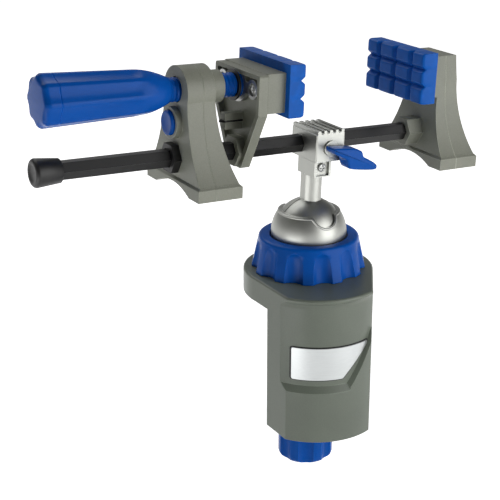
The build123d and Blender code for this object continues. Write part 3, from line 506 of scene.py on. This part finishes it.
def grip_ring(x, less=0.0):
    """Ring of the grip, with flutes that run out over its taper."""
    depth = FLUTE_DEPTH * max(0.0, 1.0 - max(0.0, (x - TAPER_X) / FLUTE_FADE)) ** 2

    def flute(angle):
        share = (angle * FLUTES / tau) % 1.0 - 0.5
        return -depth * max(0.0, 1.0 - (share / FLUTE_HALF) ** 2)
    return ring_z(x, grip_radius(x) - less, FLUTES * FLUTE_POINTS, flute)


def grip():
    rings = [grip_ring(SEAM_X, SEAM_CHAMFER), grip_ring(SEAM_X + SEAM_CHAMFER)]
    for k in range(1, GRIP_STATIONS + 1):
        rings.append(grip_ring(SEAM_X + (NECK_X - SEAM_X) * k / GRIP_STATIONS))
    rings.append(ring_z(THREAD_X, THREAD_RADIUS, FLUTES * FLUTE_POINTS))
    return skin(rings)


def grip_cap():
    rings = []
    for along, across in quarter(CAP_ROUND_STEPS):
        rings.append(grip_ring(GRIP_LEFT + CAP_ROUND * along, CAP_ROUND * (1.0 - across)))
    rings.append(grip_ring(SEAM_X - SEAM_CHAMFER))
    rings.append(grip_ring(SEAM_X, SEAM_CHAMFER))
    return skin(rings)


def feed_screw():
    groove_end = GROOVE_X + GROOVE_WIDTH
    collar = turned([
        (GROOVE_X, GROOVE_RADIUS),
        (groove_end, GROOVE_RADIUS),
        (groove_end, THREAD_RADIUS - COLLAR_ROUND),
        (groove_end + COLLAR_ROUND, THREAD_RADIUS),
        (COLLAR_END_X, THREAD_RADIUS),
    ])
    return joined(thread(THREAD_X, GROOVE_X, THREAD_RADIUS, THREAD_DEPTH, FEED_PITCH), collar)


piece("grip", grip(), SCREW_AXIS, "blue", "handle", "handle_screw")
piece("grip_cap", grip_cap(), SCREW_AXIS, "blue", "handle", "handle_end_cap")
piece("feed_screw", feed_screw(), SCREW_AXIS, "blue", "handle")


# Lock ring: twelve flutes that end in arches below a rounded top edge

RING_FLUTES = 12
RING_BOTTOM_RADIUS = 42.0
RING_TOP_RADIUS = 36.5
RING_HOLE_RADIUS = 28.7
RING_BORE_RADIUS = 33.3
RING_LIP = 5.7              # thickness of the lip over the cup's flange
RING_ROUND = 2.5
RING_ROUND_STEPS = 6
RING_HOLE_CHAMFER = RING_ROUND / 4
RING_FLUTE_RADIUS = 8.5
RING_FLUTE_DEPTH = 3.8
RING_LEAST_DEPTH = 0.01
RING_SHALLOWER = 0.25       # share by which a flute gets shallower on its way up
RING_ARCH_SHARE = 0.84      # height at which the arches close, of the ring's height
RING_LEVELS = 24
FLUTE_STEPS = 12            # across a flute
LAND_STEPS = 4              # between two flutes
ring_corner, ring_far_corner = measure("lock_ring", PART_MM)
RING_HEIGHT = ring_far_corner.z - ring_corner.z


def flute_depth(height):
    """Depth of a flute: full at the bottom, and closing in a round arch."""
    share = min(1.0, height / (RING_ARCH_SHARE * RING_HEIGHT))
    depth = RING_FLUTE_DEPTH * sqrt(1.0 - share ** 3) * (1.0 - RING_SHALLOWER * share)
    return max(RING_LEAST_DEPTH, depth)


def fluted_ring(height, radius):
    """Ring about the Z axis with a point on each flute's edges, whatever the flute's width there."""
    depth = flute_depth(height)
    drop = RING_FLUTE_RADIUS - depth
    half = sqrt(RING_FLUTE_RADIUS ** 2 - drop ** 2)
    pitch = tau / RING_FLUTES
    edge = half / radius
    ring = []
    for flute in range(RING_FLUTES):
        middle = flute * pitch
        for step in range(FLUTE_STEPS + 1):
            share = 2.0 * step / FLUTE_STEPS - 1.0
            sunk = sqrt(RING_FLUTE_RADIUS ** 2 - (half * share) ** 2) - drop
            ring.append((middle + edge * share, radius - sunk))
        land = pitch - 2.0 * edge
        for step in range(1, LAND_STEPS):
            ring.append((middle + edge + land * step / LAND_STEPS, radius))
    return [(reach * cos(angle), reach * sin(angle), height) for angle, reach in ring]


def plain_ring(height, radius):
    """Round ring with its points at the same angles as the flutes' at the top."""
    angles = [atan2(y, x) for x, y, _ in fluted_ring(RING_HEIGHT, radius)]
    return [(radius * cos(angle), radius * sin(angle), height) for angle in angles]


def fluted_lock_ring():
    cone = (RING_BOTTOM_RADIUS - RING_TOP_RADIUS) / RING_HEIGHT
    side_top = RING_HEIGHT - RING_ROUND
    side_radius = RING_BOTTOM_RADIUS - cone * side_top
    rings = [plain_ring(0.0, RING_BORE_RADIUS)]
    for level in range(RING_LEVELS + 1):
        height = side_top * level / RING_LEVELS
        rings.append(fluted_ring(height, RING_BOTTOM_RADIUS - cone * height))
    for along, across in reversed(quarter(RING_ROUND_STEPS)[:-1]):
        height = side_top + RING_ROUND * (1.0 - along)
        rings.append(plain_ring(height, side_radius - RING_ROUND * (1.0 - across)))
    rings.append(plain_ring(RING_HEIGHT, RING_HOLE_RADIUS + RING_HOLE_CHAMFER))
    rings.append(plain_ring(RING_HEIGHT - RING_HOLE_CHAMFER, RING_HOLE_RADIUS))
    rings.append(plain_ring(RING_HEIGHT - RING_LIP, RING_HOLE_RADIUS))
    rings.append(plain_ring(RING_HEIGHT - RING_LIP, RING_BORE_RADIUS))
    return skin(rings, closed=True)


ring_middle = (ring_corner + ring_far_corner) / 2
ring_place = PART_MM @ Matrix.Translation((ring_middle.x, ring_middle.y, ring_corner.z))
piece("fluted_ring", fluted_lock_ring(), ring_place, "blue", "lock_ring_body", "lock_ring")


# Socket cup: rolled edge along its rim and round its two notches

CUP_RIM_RISE = 17.1         # rim above the ball's centre
NOTCH_HALF = 8.65           # half a notch's width
NOTCH_LEAN = radians(50.0)
EDGE_ROUND = 1.0
EDGE_REACH = 27.3           # distance of the edge's middle from the ball's centre
EDGE_RISE = CUP_RIM_RISE - EDGE_ROUND
EDGE_HALF = NOTCH_HALF + EDGE_ROUND
NOTCH_STEPS = 40
RIM_STEPS = 50
EDGE_SMOOTHING = 2          # times that the corners of the edge are eased
EDGE_POINTS = 12            # round the edge's section


def notch_line():
    """Line round the notch on the +Y side, from its +X end to its -X end."""
    spread = asin(EDGE_HALF / EDGE_REACH)
    to_notch = Vector((0, sin(NOTCH_LEAN), cos(NOTCH_LEAN)))
    down = Vector((0, cos(NOTCH_LEAN), -sin(NOTCH_LEAN)))
    start = asin((cos(spread) * to_notch.z - EDGE_RISE / EDGE_REACH) / (-sin(spread) * down.z))
    line = []
    for step in range(NOTCH_STEPS + 1):
        turn = start + (pi - 2.0 * start) * step / NOTCH_STEPS
        across = Vector((1, 0, 0)) * cos(turn) + down * sin(turn)
        line.append(EDGE_REACH * (to_notch * cos(spread) + across * sin(spread)))
    return line


def rim_line(start, end):
    """Line along the rim between two points of it, without its ends."""
    reach = sqrt(EDGE_REACH ** 2 - EDGE_RISE ** 2)
    first = atan2(start.y, start.x)
    sweep = (atan2(end.y, end.x) - first) % tau
    angles = [first + sweep * step / RIM_STEPS for step in range(1, RIM_STEPS)]
    return [Vector((reach * cos(angle), reach * sin(angle), EDGE_RISE)) for angle in angles]


def rolled_edge():
    """Bead along the rim and round the notches, on a line that stays on a sphere about the ball's centre."""
    back = notch_line()
    front = [Vector((-point.x, -point.y, point.z)) for point in back]
    line = back + rim_line(back[-1], front[0]) + front + rim_line(front[-1], back[0])
    for _ in range(EDGE_SMOOTHING):
        line = [(line[k - 1] + line[k] * 2 + line[(k + 1) % len(line)]).normalized() * EDGE_REACH
                for k in range(len(line))]
    turns = [tau * k / EDGE_POINTS for k in range(EDGE_POINTS)]
    rings = []
    for k, point in enumerate(line):
        out = point.normalized()
        side = (line[(k + 1) % len(line)] - line[k - 1]).normalized().cross(out)
        rings.append([point + (out * cos(turn) + side * sin(turn)) * EDGE_ROUND for turn in turns])
    return skin(rings, closed=True)


piece("cup_edge", rolled_edge(), CUP_MM, "cast_alloy", "socket")


# Washer behind the lever: bright, with its edges broken

WASHER_HOLE = 2.0
WASHER_EDGE = 0.3
washer_corner, washer_far_corner = measure("lever_washer", HEAD_MM)
WASHER_RADIUS = (washer_far_corner.x - washer_corner.x) / 2
WASHER_THICK = washer_far_corner.y - washer_corner.y


def bright_washer():
    profile = [
        (0.0, WASHER_HOLE),
        (0.0, WASHER_RADIUS - WASHER_EDGE),
        (WASHER_EDGE, WASHER_RADIUS),
        (WASHER_THICK - WASHER_EDGE, WASHER_RADIUS),
        (WASHER_THICK, WASHER_RADIUS - WASHER_EDGE),
        (WASHER_THICK, WASHER_HOLE),
    ]
    return turned(profile, closed=True)


washer_middle = (washer_corner + washer_far_corner) / 2
washer_seat = Matrix.Translation((washer_middle.x, washer_far_corner.y, washer_middle.z))
piece("washer", bright_washer(), HEAD_MM @ washer_seat @ Matrix.Rotation(pi / 2, 4, "X"),
      "cast_alloy", "lever", "lever_washer")


# Release button: dished face and rounded edge

BUTTON_RADIUS = 8.5
BUTTON_ROUND = 1.2
BUTTON_ROUND_STEPS = 6
BUTTON_DISH = 0.5
BUTTON_DISH_SHARES = (0.05, 0.3, 0.55, 0.75)
button_corner, button_far_corner = measure("release_button", HEAD_MM)


def release_button():
    face = button_corner.x
    flat = BUTTON_RADIUS - BUTTON_ROUND
    profile = [(face + BUTTON_DISH * (1.0 - share ** 2), share * flat) for share in BUTTON_DISH_SHARES]
    for along, across in quarter(BUTTON_ROUND_STEPS):
        profile.append((face + BUTTON_ROUND * along, flat + BUTTON_ROUND * across))
    profile.append((button_far_corner.x, BUTTON_RADIUS))
    return turned(profile)


button_rise = (button_corner.z + button_far_corner.z) / 2
piece("button", release_button(), along_x(0, button_rise), "blue", "button", "release_button")


# Bar's end cap: rubber-like cap with a raised rim round its end

CAP_END_RADIUS = 9.7
CAP_MOUTH_RADIUS = 8.2
CAP_END_ROUND = 2.5
CAP_END_STEPS = 8
CAP_MOUTH_ROUND = 0.6
CAP_RIM = 1.4
CAP_SINK = 0.7
CAP_RIM_CHAMFER = CAP_SINK / 4
CAP_MIDDLE = 0.3            # radius of the small flat in the middle of the end
CAP_BORE_RADIUS = 5.5       # lies inside the bar
CAP_FLOOR = 5.0
end_corner, end_far_corner = measure("bar_end_cap", HEAD_MM)
bar_corner, bar_far_corner = measure("hex_bar", HEAD_MM)
BAR_RISE = (bar_corner.z + bar_far_corner.z) / 2


def bar_cap():
    face = end_corner.x
    mouth = end_far_corner.x
    flat = CAP_END_RADIUS - CAP_END_ROUND
    profile = [(face + CAP_SINK, CAP_MIDDLE), (face + CAP_SINK, flat - CAP_RIM - CAP_SINK)]
    profile.append((face + CAP_RIM_CHAMFER, flat - CAP_RIM))
    for along, across in quarter(CAP_END_STEPS):
        profile.append((face + CAP_END_ROUND * along, flat + CAP_END_ROUND * across))
    profile.append((mouth - CAP_MOUTH_ROUND, CAP_MOUTH_RADIUS))
    profile.append((mouth, CAP_MOUTH_RADIUS - CAP_MOUTH_ROUND))
    profile.append((mouth, CAP_BORE_RADIUS))
    profile.append((face + CAP_FLOOR, CAP_BORE_RADIUS))
    return turned(profile)


piece("bar_cap", bar_cap(), along_x(0, BAR_RISE), "black_plastic", "bar", "bar_end_cap")


# Wing lever: an S-shaped wing with rounded edges

WING_LENGTH = 32.0
WING_DROP = 15.7
WING_ROUND = 1.6
WING_ROUND_STEPS = 6
WING_SPAN_POINTS = 8        # steps from one point of the outline to the next
WING_SHARES = (
    (-0.175, 0.075), (-0.13, 0.18), (0.19, 0.13), (0.43, 0.06), (0.57, -0.08),
    (0.63, -0.33), (0.745, -0.46), (0.945, -0.70), (1.0, -0.865), (0.905, -1.0),
    (0.345, -0.86), (0.225, -0.71), (0.165, -0.395), (0.0, -0.21), (-0.13, -0.06),
)
wing_corner, wing_far_corner = measure("wing_lever", HEAD_MM)


def closed_curve(points, between):
    """Smooth closed line through points, with a number of steps from each to the next."""
    count = len(points)
    line = []
    for k in range(count):
        before, start, end, after = [Vector(points[(k + j) % count]) for j in (-1, 0, 1, 2)]
        for step in range(between):
            t = step / between
            slope = end - before
            bend = 2 * before - 5 * start + 4 * end - after
            twist = 3 * start - before - 3 * end + after
            line.append(start + 0.5 * (slope * t + bend * t ** 2 + twist * t ** 3))
    return line


def shrunk(line, inset):
    """Closed line moved inwards by an inset; the line runs clockwise."""
    count = len(line)
    inner = []
    for k in range(count):
        run = (line[(k + 1) % count] - line[k - 1]).normalized()
        inner.append(line[k] + Vector((run.y, -run.x)) * inset)
    return inner


def wing():
    points = [(x * WING_LENGTH, BAR_RISE + z * WING_DROP) for x, z in WING_SHARES]
    outline = closed_curve(points, WING_SPAN_POINTS)
    front = wing_corner.y
    back = wing_far_corner.y
    rings = []
    for along, across in quarter(WING_ROUND_STEPS):
        line = shrunk(outline, WING_ROUND * (1.0 - across))
        rings.append([(x, back - WING_ROUND * along, z) for x, z in line])
    for along, across in reversed(quarter(WING_ROUND_STEPS)):
        line = shrunk(outline, WING_ROUND * (1.0 - across))
        rings.append([(x, front + WING_ROUND * along, z) for x, z in line])
    return skin(rings)


piece("wing", wing(), HEAD_MM, "blue", "lever", "wing_lever")


# Screws with cross-recess heads

HEAD_RADIUS = 3.2
HEAD_HEIGHT = 2.0
SHANK_RADIUS = 1.6
HEAD_CROWN = 0.5
RECESS_DEPTH = 1.1
RECESS_HALF = 0.5
RECESS_REACH = 1.9
RECESS_TOP = 3.0            # height and fall of the cross's sloping sides, as shares of its depth
RECESS_FALL = 2.4
RECESS_SHARES = (0.66, 0.62, 0.57, 0.5, 0.42, 0.34, 0.26, 0.18, 0.1, 0.03)
HEAD_SIDE_SHARES = ((0.55, 1.0), (0.75, 0.96), (0.88, 0.88), (0.94, 0.8))


def recess(x, y):
    """Depth of the cross at a point of the head's face."""
    tall = max(abs(x) / RECESS_HALF, abs(y) / RECESS_REACH)
    wide = max(abs(y) / RECESS_HALF, abs(x) / RECESS_REACH)
    return RECESS_DEPTH * min(1.0, max(0.0, RECESS_TOP - RECESS_FALL * min(tall, wide)))


def cross_screw(length):
    """Screw whose seat lies at zero, with its head up and its shank down the Z axis."""
    rings = [ring_z(-length, SHANK_RADIUS), ring_z(0, SHANK_RADIUS), ring_z(0, HEAD_RADIUS)]
    for height, radius in HEAD_SIDE_SHARES:
        rings.append(ring_z(height * (HEAD_HEIGHT - HEAD_CROWN / 2), radius * HEAD_RADIUS))
    for share in RECESS_SHARES:
        crown = HEAD_HEIGHT - HEAD_CROWN * share ** 2
        flat = ring_z(0, share * HEAD_RADIUS)
        rings.append([(x, y, crown - recess(x, y)) for x, y, _ in flat])
    return skin(rings)


def screw_places(node, facing):
    """Seats of a node's two screws, whose heads look along facing, and that stand side by side on Y."""
    low_corner, high_corner = measure(node, HEAD_MM)
    head_x = high_corner.x if facing > 0 else low_corner.x
    height = (low_corner.z + high_corner.z) / 2
    for y in (low_corner.y + HEAD_RADIUS, high_corner.y - HEAD_RADIUS):
        seat = HEAD_MM @ Matrix.Translation((head_x - facing * HEAD_HEIGHT, y, height))
        yield seat @ Matrix.Rotation(facing * pi / 2, 4, "Y")


def side_screws(name, node, facing, body):
    low_corner, high_corner = measure(node, HEAD_MM)
    screw = cross_screw(high_corner.x - low_corner.x - HEAD_HEIGHT)
    both = joined(*[moved(screw, place) for place in screw_places(node, facing)])
    piece(name, both, Matrix.Identity(4), "steel", body, node)


side_screws("plate_screws", "retainer_screws", -1, "moving_jaw_body")
side_screws("fixed_shell_screws", "fixed_jaw_screws", 1, "bar")
side_screws("sliding_shell_screws", "sliding_jaw_screws", 1, "sliding_jaw")
block_corner, block_far_corner = measure("block_screw", HEAD_MM)
block_seat = Matrix.Translation((0, block_corner.y + HEAD_HEIGHT, (block_corner.z + block_far_corner.z) / 2))
piece("neck_screw", cross_screw(block_far_corner.y - block_corner.y - HEAD_HEIGHT),
      HEAD_MM @ block_seat @ Matrix.Rotation(pi / 2, 4, "X"), "steel", "ball_head", "block_screw")


# Clamp screw under the arm, with its thread

CLAMP_PITCH = 4.0
CLAMP_THREAD_DEPTH = 1.2
CLAMP_TIP = 6.0             # plain tip in the shoe
spindle_corner, spindle_far_corner = measure("clamp_screw", PART_MM)
CLAMP_RADIUS = (spindle_far_corner.x - spindle_corner.x) / 2
tip_start = spindle_far_corner.z - CLAMP_TIP
spindle_tip = turned([
    (tip_start, CLAMP_RADIUS - CLAMP_THREAD_DEPTH),
    (tip_start + CLAMP_THREAD_DEPTH, CLAMP_RADIUS),
    (spindle_far_corner.z, CLAMP_RADIUS),
])
spindle = thread(spindle_corner.z, tip_start, CLAMP_RADIUS, CLAMP_THREAD_DEPTH, CLAMP_PITCH)
piece("spindle", joined(spindle, spindle_tip), PART_MM, "steel", "clamp_spindle", "clamp_screw")


# Badge: dark seat line round the bare plate

FRONT_RADIUS = 45.67        # floor of the sunk panel, about its own axis
FRONT_AXIS_Y = -20.93
BADGE_TIP_DROP = 2.6
BADGE_FOOT_X = 8.3          # lower end of the slanting side
BADGE_ROUND = 1.3
BADGE_LINE = 0.8
BADGE_LINE_RISE = 0.35
BADGE_LINE_GAP = 2.0        # largest distance between the line's points
CORNER_STEPS = 5


def rounded_corners(points, radius):
    """Closed line through corners, each rounded by a curve that starts and ends a radius from it."""
    count = len(points)
    line = []
    for k in range(count):
        corner = Vector(points[k])
        start = corner + (Vector(points[k - 1]) - corner).normalized() * radius
        end = corner + (Vector(points[(k + 1) % count]) - corner).normalized() * radius
        for step in range(CORNER_STEPS + 1):
            t = step / CORNER_STEPS
            line.append(start * (1 - t) ** 2 + corner * 2 * t * (1 - t) + end * t ** 2)
    return line


def divided(line, gap):
    """The same closed line with points at most a gap apart."""
    fine = []
    for k, start in enumerate(line):
        end = line[(k + 1) % len(line)]
        steps = max(1, int((end - start).length / gap))
        fine.extend(start.lerp(end, step / steps) for step in range(steps))
    return fine


def on_front(line, rise):
    """Points of the column's sunk front, raised off it by a given height."""
    radius = FRONT_RADIUS + rise
    return [(x, FRONT_AXIS_Y - sqrt(radius ** 2 - x ** 2), z) for x, z in line]


def badge_line():
    low_corner, high_corner = measure("badge_plate", PART_MM)
    corners = [
        (low_corner.x, high_corner.z),
        (high_corner.x, high_corner.z),
        (high_corner.x, high_corner.z - BADGE_TIP_DROP),
        (BADGE_FOOT_X, low_corner.z),
        (low_corner.x, low_corner.z),
    ]
    inner = divided(rounded_corners(corners, BADGE_ROUND), BADGE_LINE_GAP)
    outer = shrunk(inner, -BADGE_LINE)
    heights = ((inner, 0.0), (inner, BADGE_LINE_RISE), (outer, BADGE_LINE_RISE), (outer, 0.0))
    return skin([on_front(line, rise) for line, rise in heights], closed=True)


piece("badge_seat", badge_line(), PART_MM, "black_plastic", "base")


# Jaw pads: rows of crowned cells between V grooves

PAD_COLUMNS = (-0.565, 0.0, 0.565)  # grooves that run up the pad, as shares of half its width
PAD_ROWS = (0.35, 0.69)             # grooves that run along it, as shares of its height
PAD_GROOVE = 3.0
PAD_GROOVE_HALF = 2.8
PAD_GROOVE_CURVE = 1.25             # 1 gives straight flanks
PAD_CROWN = 0.35
PAD_CROWN_CURVE = 4                 # a higher power gives a flatter cell
PAD_ROUND = 1.6
PAD_STEPS = (140, 76)


def groove(gap):
    """Depth of a V groove at a distance from its middle."""
    share = min(1.0, abs(gap) / PAD_GROOVE_HALF)
    return PAD_GROOVE * (1.0 - share) ** PAD_GROOVE_CURVE


def crown(value, cuts, first, last):
    """How far a cell's face falls off towards its edges."""
    edges = [first, *cuts, last]
    for start, end in zip(edges, edges[1:]):
        if start <= value <= end:
            share = 2.0 * (value - start) / (end - start) - 1.0
            return PAD_CROWN * share ** PAD_CROWN_CURVE
    return 0.0


def rim(gap):
    """How far the pad's rounded rim falls off at a distance from its edge."""
    run = min(1.0, gap / PAD_ROUND)
    return PAD_ROUND * (1.0 - sqrt(1.0 - (1.0 - run) ** 2))


def pad_shape(node, toward):
    """Pad whose gripping face looks along toward, -1 or 1, on X."""
    low_corner, high_corner = measure(node, HEAD_MM)
    face_x = high_corner.x if toward > 0 else low_corner.x
    back_x = low_corner.x if toward > 0 else high_corner.x
    columns = [low_corner.y + (share + 1.0) / 2.0 * (high_corner.y - low_corner.y) for share in PAD_COLUMNS]
    rows = [low_corner.z + share * (high_corner.z - low_corner.z) for share in PAD_ROWS]

    def depth(y, z):
        cut = max([groove(y - column) for column in columns] + [groove(z - row) for row in rows])
        swell = crown(y, columns, low_corner.y, high_corner.y) + crown(z, rows, low_corner.z, high_corner.z)
        edge = rim(min(y - low_corner.y, high_corner.y - y)) + rim(min(z - low_corner.z, high_corner.z - z))
        return min(PAD_GROOVE + PAD_ROUND, cut + swell + edge)

    wide, tall = PAD_STEPS
    vertices = []
    for j in range(tall + 1):
        z = low_corner.z + (high_corner.z - low_corner.z) * j / tall
        for i in range(wide + 1):
            y = low_corner.y + (high_corner.y - low_corner.y) * i / wide
            vertices.append((face_x - toward * depth(y, z), y, z))
    faces = []
    for j in range(tall):
        for i in range(wide):
            here = j * (wide + 1) + i
            faces.append((here, here + 1, here + wide + 2, here + wide + 1))
    border = list(range(wide + 1))
    border += [j * (wide + 1) + wide for j in range(1, tall + 1)]
    border += [tall * (wide + 1) + i for i in range(wide - 1, -1, -1)]
    border += [j * (wide + 1) for j in range(tall - 1, 0, -1)]
    start = len(vertices)
    vertices.extend((back_x, vertices[k][1], vertices[k][2]) for k in border)
    count = len(border)
    for k in range(count):
        after = (k + 1) % count
        faces.append((border[k], border[after], start + after, start + k))
    faces.append(tuple(range(start, start + count)))
    return vertices, faces


piece("fixed_pad", pad_shape("fixed_jaw_pad", -1), HEAD_MM, "soft_blue", "bar", "fixed_jaw_pad")
piece("moving_pad", pad_shape("moving_jaw_pad", 1), HEAD_MM, "soft_blue", "moving_jaw_body", "moving_jaw_pad")


# Studio: pale floor, soft light, and the camera of the photograph

FLOOR_LEVEL = -0.190
FLOOR_HALF = 3.0
FLOOR_GREY = (0.9, 0.9, 0.9, 1.0)
FLOOR_ROUGHNESS = 0.8
FLOOR_GLOW = ((0.25, 0.72), (1.2, 1.0))     # white that camera and mirrors see, by distance in metres
AMBIENT = 0.26
CEILING = ((0.0, 0.9), (0.12, 0.5), (0.28, 0.16), (1.0, 0.16))  # level of the surroundings, by height
WHITE = (1.0, 1.0, 1.0, 1.0)


def floor_white():
    """Pale floor that shows white to the camera and in reflections, and keeps the object's shadow."""
    constants = {"Base Color": FLOOR_GREY, "Roughness": FLOOR_ROUGHNESS, "Emission Strength": 1.0}
    finish = Finish("floor_white", constants)
    points = {0: finish.place()}
    distance = finish.node("ShaderNodeVectorMath", {"operation": "LENGTH"}, points, "Value")
    seen = finish.ray("Is Camera Ray") + finish.mirrored()
    finish.feed("Emission Color", seen * finish.ramp(distance, *FLOOR_GLOW))
    return finish.material


def studio_world():
    """White surroundings under a dark ceiling, all white to the camera."""
    world = bpy.data.worlds.new("studio")
    world.use_nodes = True
    sky = Nodes(world.node_tree)
    way = sky.node("ShaderNodeTexCoord", {}, {}, "Generated")
    height = sky.node("ShaderNodeSeparateXYZ", {}, {0: way}, "Z")
    shade = sky.ramp(height, *CEILING)
    dim = sky.node("ShaderNodeBackground", {}, {"Color": shade, "Strength": AMBIENT})
    reflected = sky.node("ShaderNodeBackground", {}, {"Color": shade, "Strength": 1.0})
    white = sky.node("ShaderNodeBackground", {}, {"Color": WHITE, "Strength": 1.0})
    unseen = sky.either(sky.mirrored(), dim, reflected)
    sky.show("World Output", sky.either(sky.ray("Is Camera Ray"), unseen, white))
    return world


def softbox(name, bearing, elevation, distance, size, power):
    """Soft lamp that looks at the ball from a bearing, in degrees from the front to the right."""
    turn = radians(bearing)
    rise = radians(elevation)
    way = Vector((sin(turn) * cos(rise), -cos(turn) * cos(rise), sin(rise)))
    light = bpy.data.lights.new(name, "AREA")
    light.shape = "RECTANGLE"
    light.size = size[0]
    light.size_y = size[1]
    light.energy = power
    lamp = bpy.data.objects.new(name, light)
    lamp.location = ball_centre + distance * way
    lamp.rotation_euler = way.to_track_quat("Z", "Y").to_euler()
    bpy.context.collection.objects.link(lamp)


floor_mesh = bpy.data.meshes.new("floor")
floor_signs = ((-1, -1), (1, -1), (1, 1), (-1, 1))
floor_corners = [(x * FLOOR_HALF, y * FLOOR_HALF, FLOOR_LEVEL) for x, y in floor_signs]
floor_mesh.from_pydata(floor_corners, [], [(0, 1, 2, 3)])
floor_mesh.materials.append(floor_white())
floor = bpy.data.objects.new("floor", floor_mesh)
bpy.context.collection.objects.link(floor)
softbox("key", bearing=44.0, elevation=14.0, distance=1.3, size=(1.1, 1.3), power=14.0)
softbox("side", bearing=-58.0, elevation=-18.0, distance=0.6, size=(0.5, 0.2), power=1.1)
softbox("rear", bearing=205.0, elevation=52.0, distance=1.5, size=(1.4, 1.2), power=10.0)

scene = bpy.context.scene
scene.view_settings.view_transform = "Standard"
scene.world = studio_world()

right = Vector((cos(AZIMUTH), sin(AZIMUTH), 0))
back = Vector((sin(AZIMUTH) * cos(ELEVATION), -cos(AZIMUTH) * cos(ELEVATION), sin(ELEVATION)))
up = back.cross(right)
offset_x = (BALL_PX[0] - PICTURE / 2) * BALL_DEPTH / FOCAL_PX
offset_y = (PICTURE / 2 - BALL_PX[1]) * BALL_DEPTH / FOCAL_PX
eye = ball_centre - right * offset_x - up * offset_y + back * BALL_DEPTH
lens = bpy.data.cameras.new("camera")
lens.sensor_width = SENSOR
lens.lens = FOCAL_PX / PICTURE * SENSOR
camera = bpy.data.objects.new("camera", lens)
camera.matrix_world = Matrix.Translation(eye) @ Matrix((right, up, back)).transposed().to_4x4()
bpy.context.collection.objects.link(camera)
scene.camera = camera
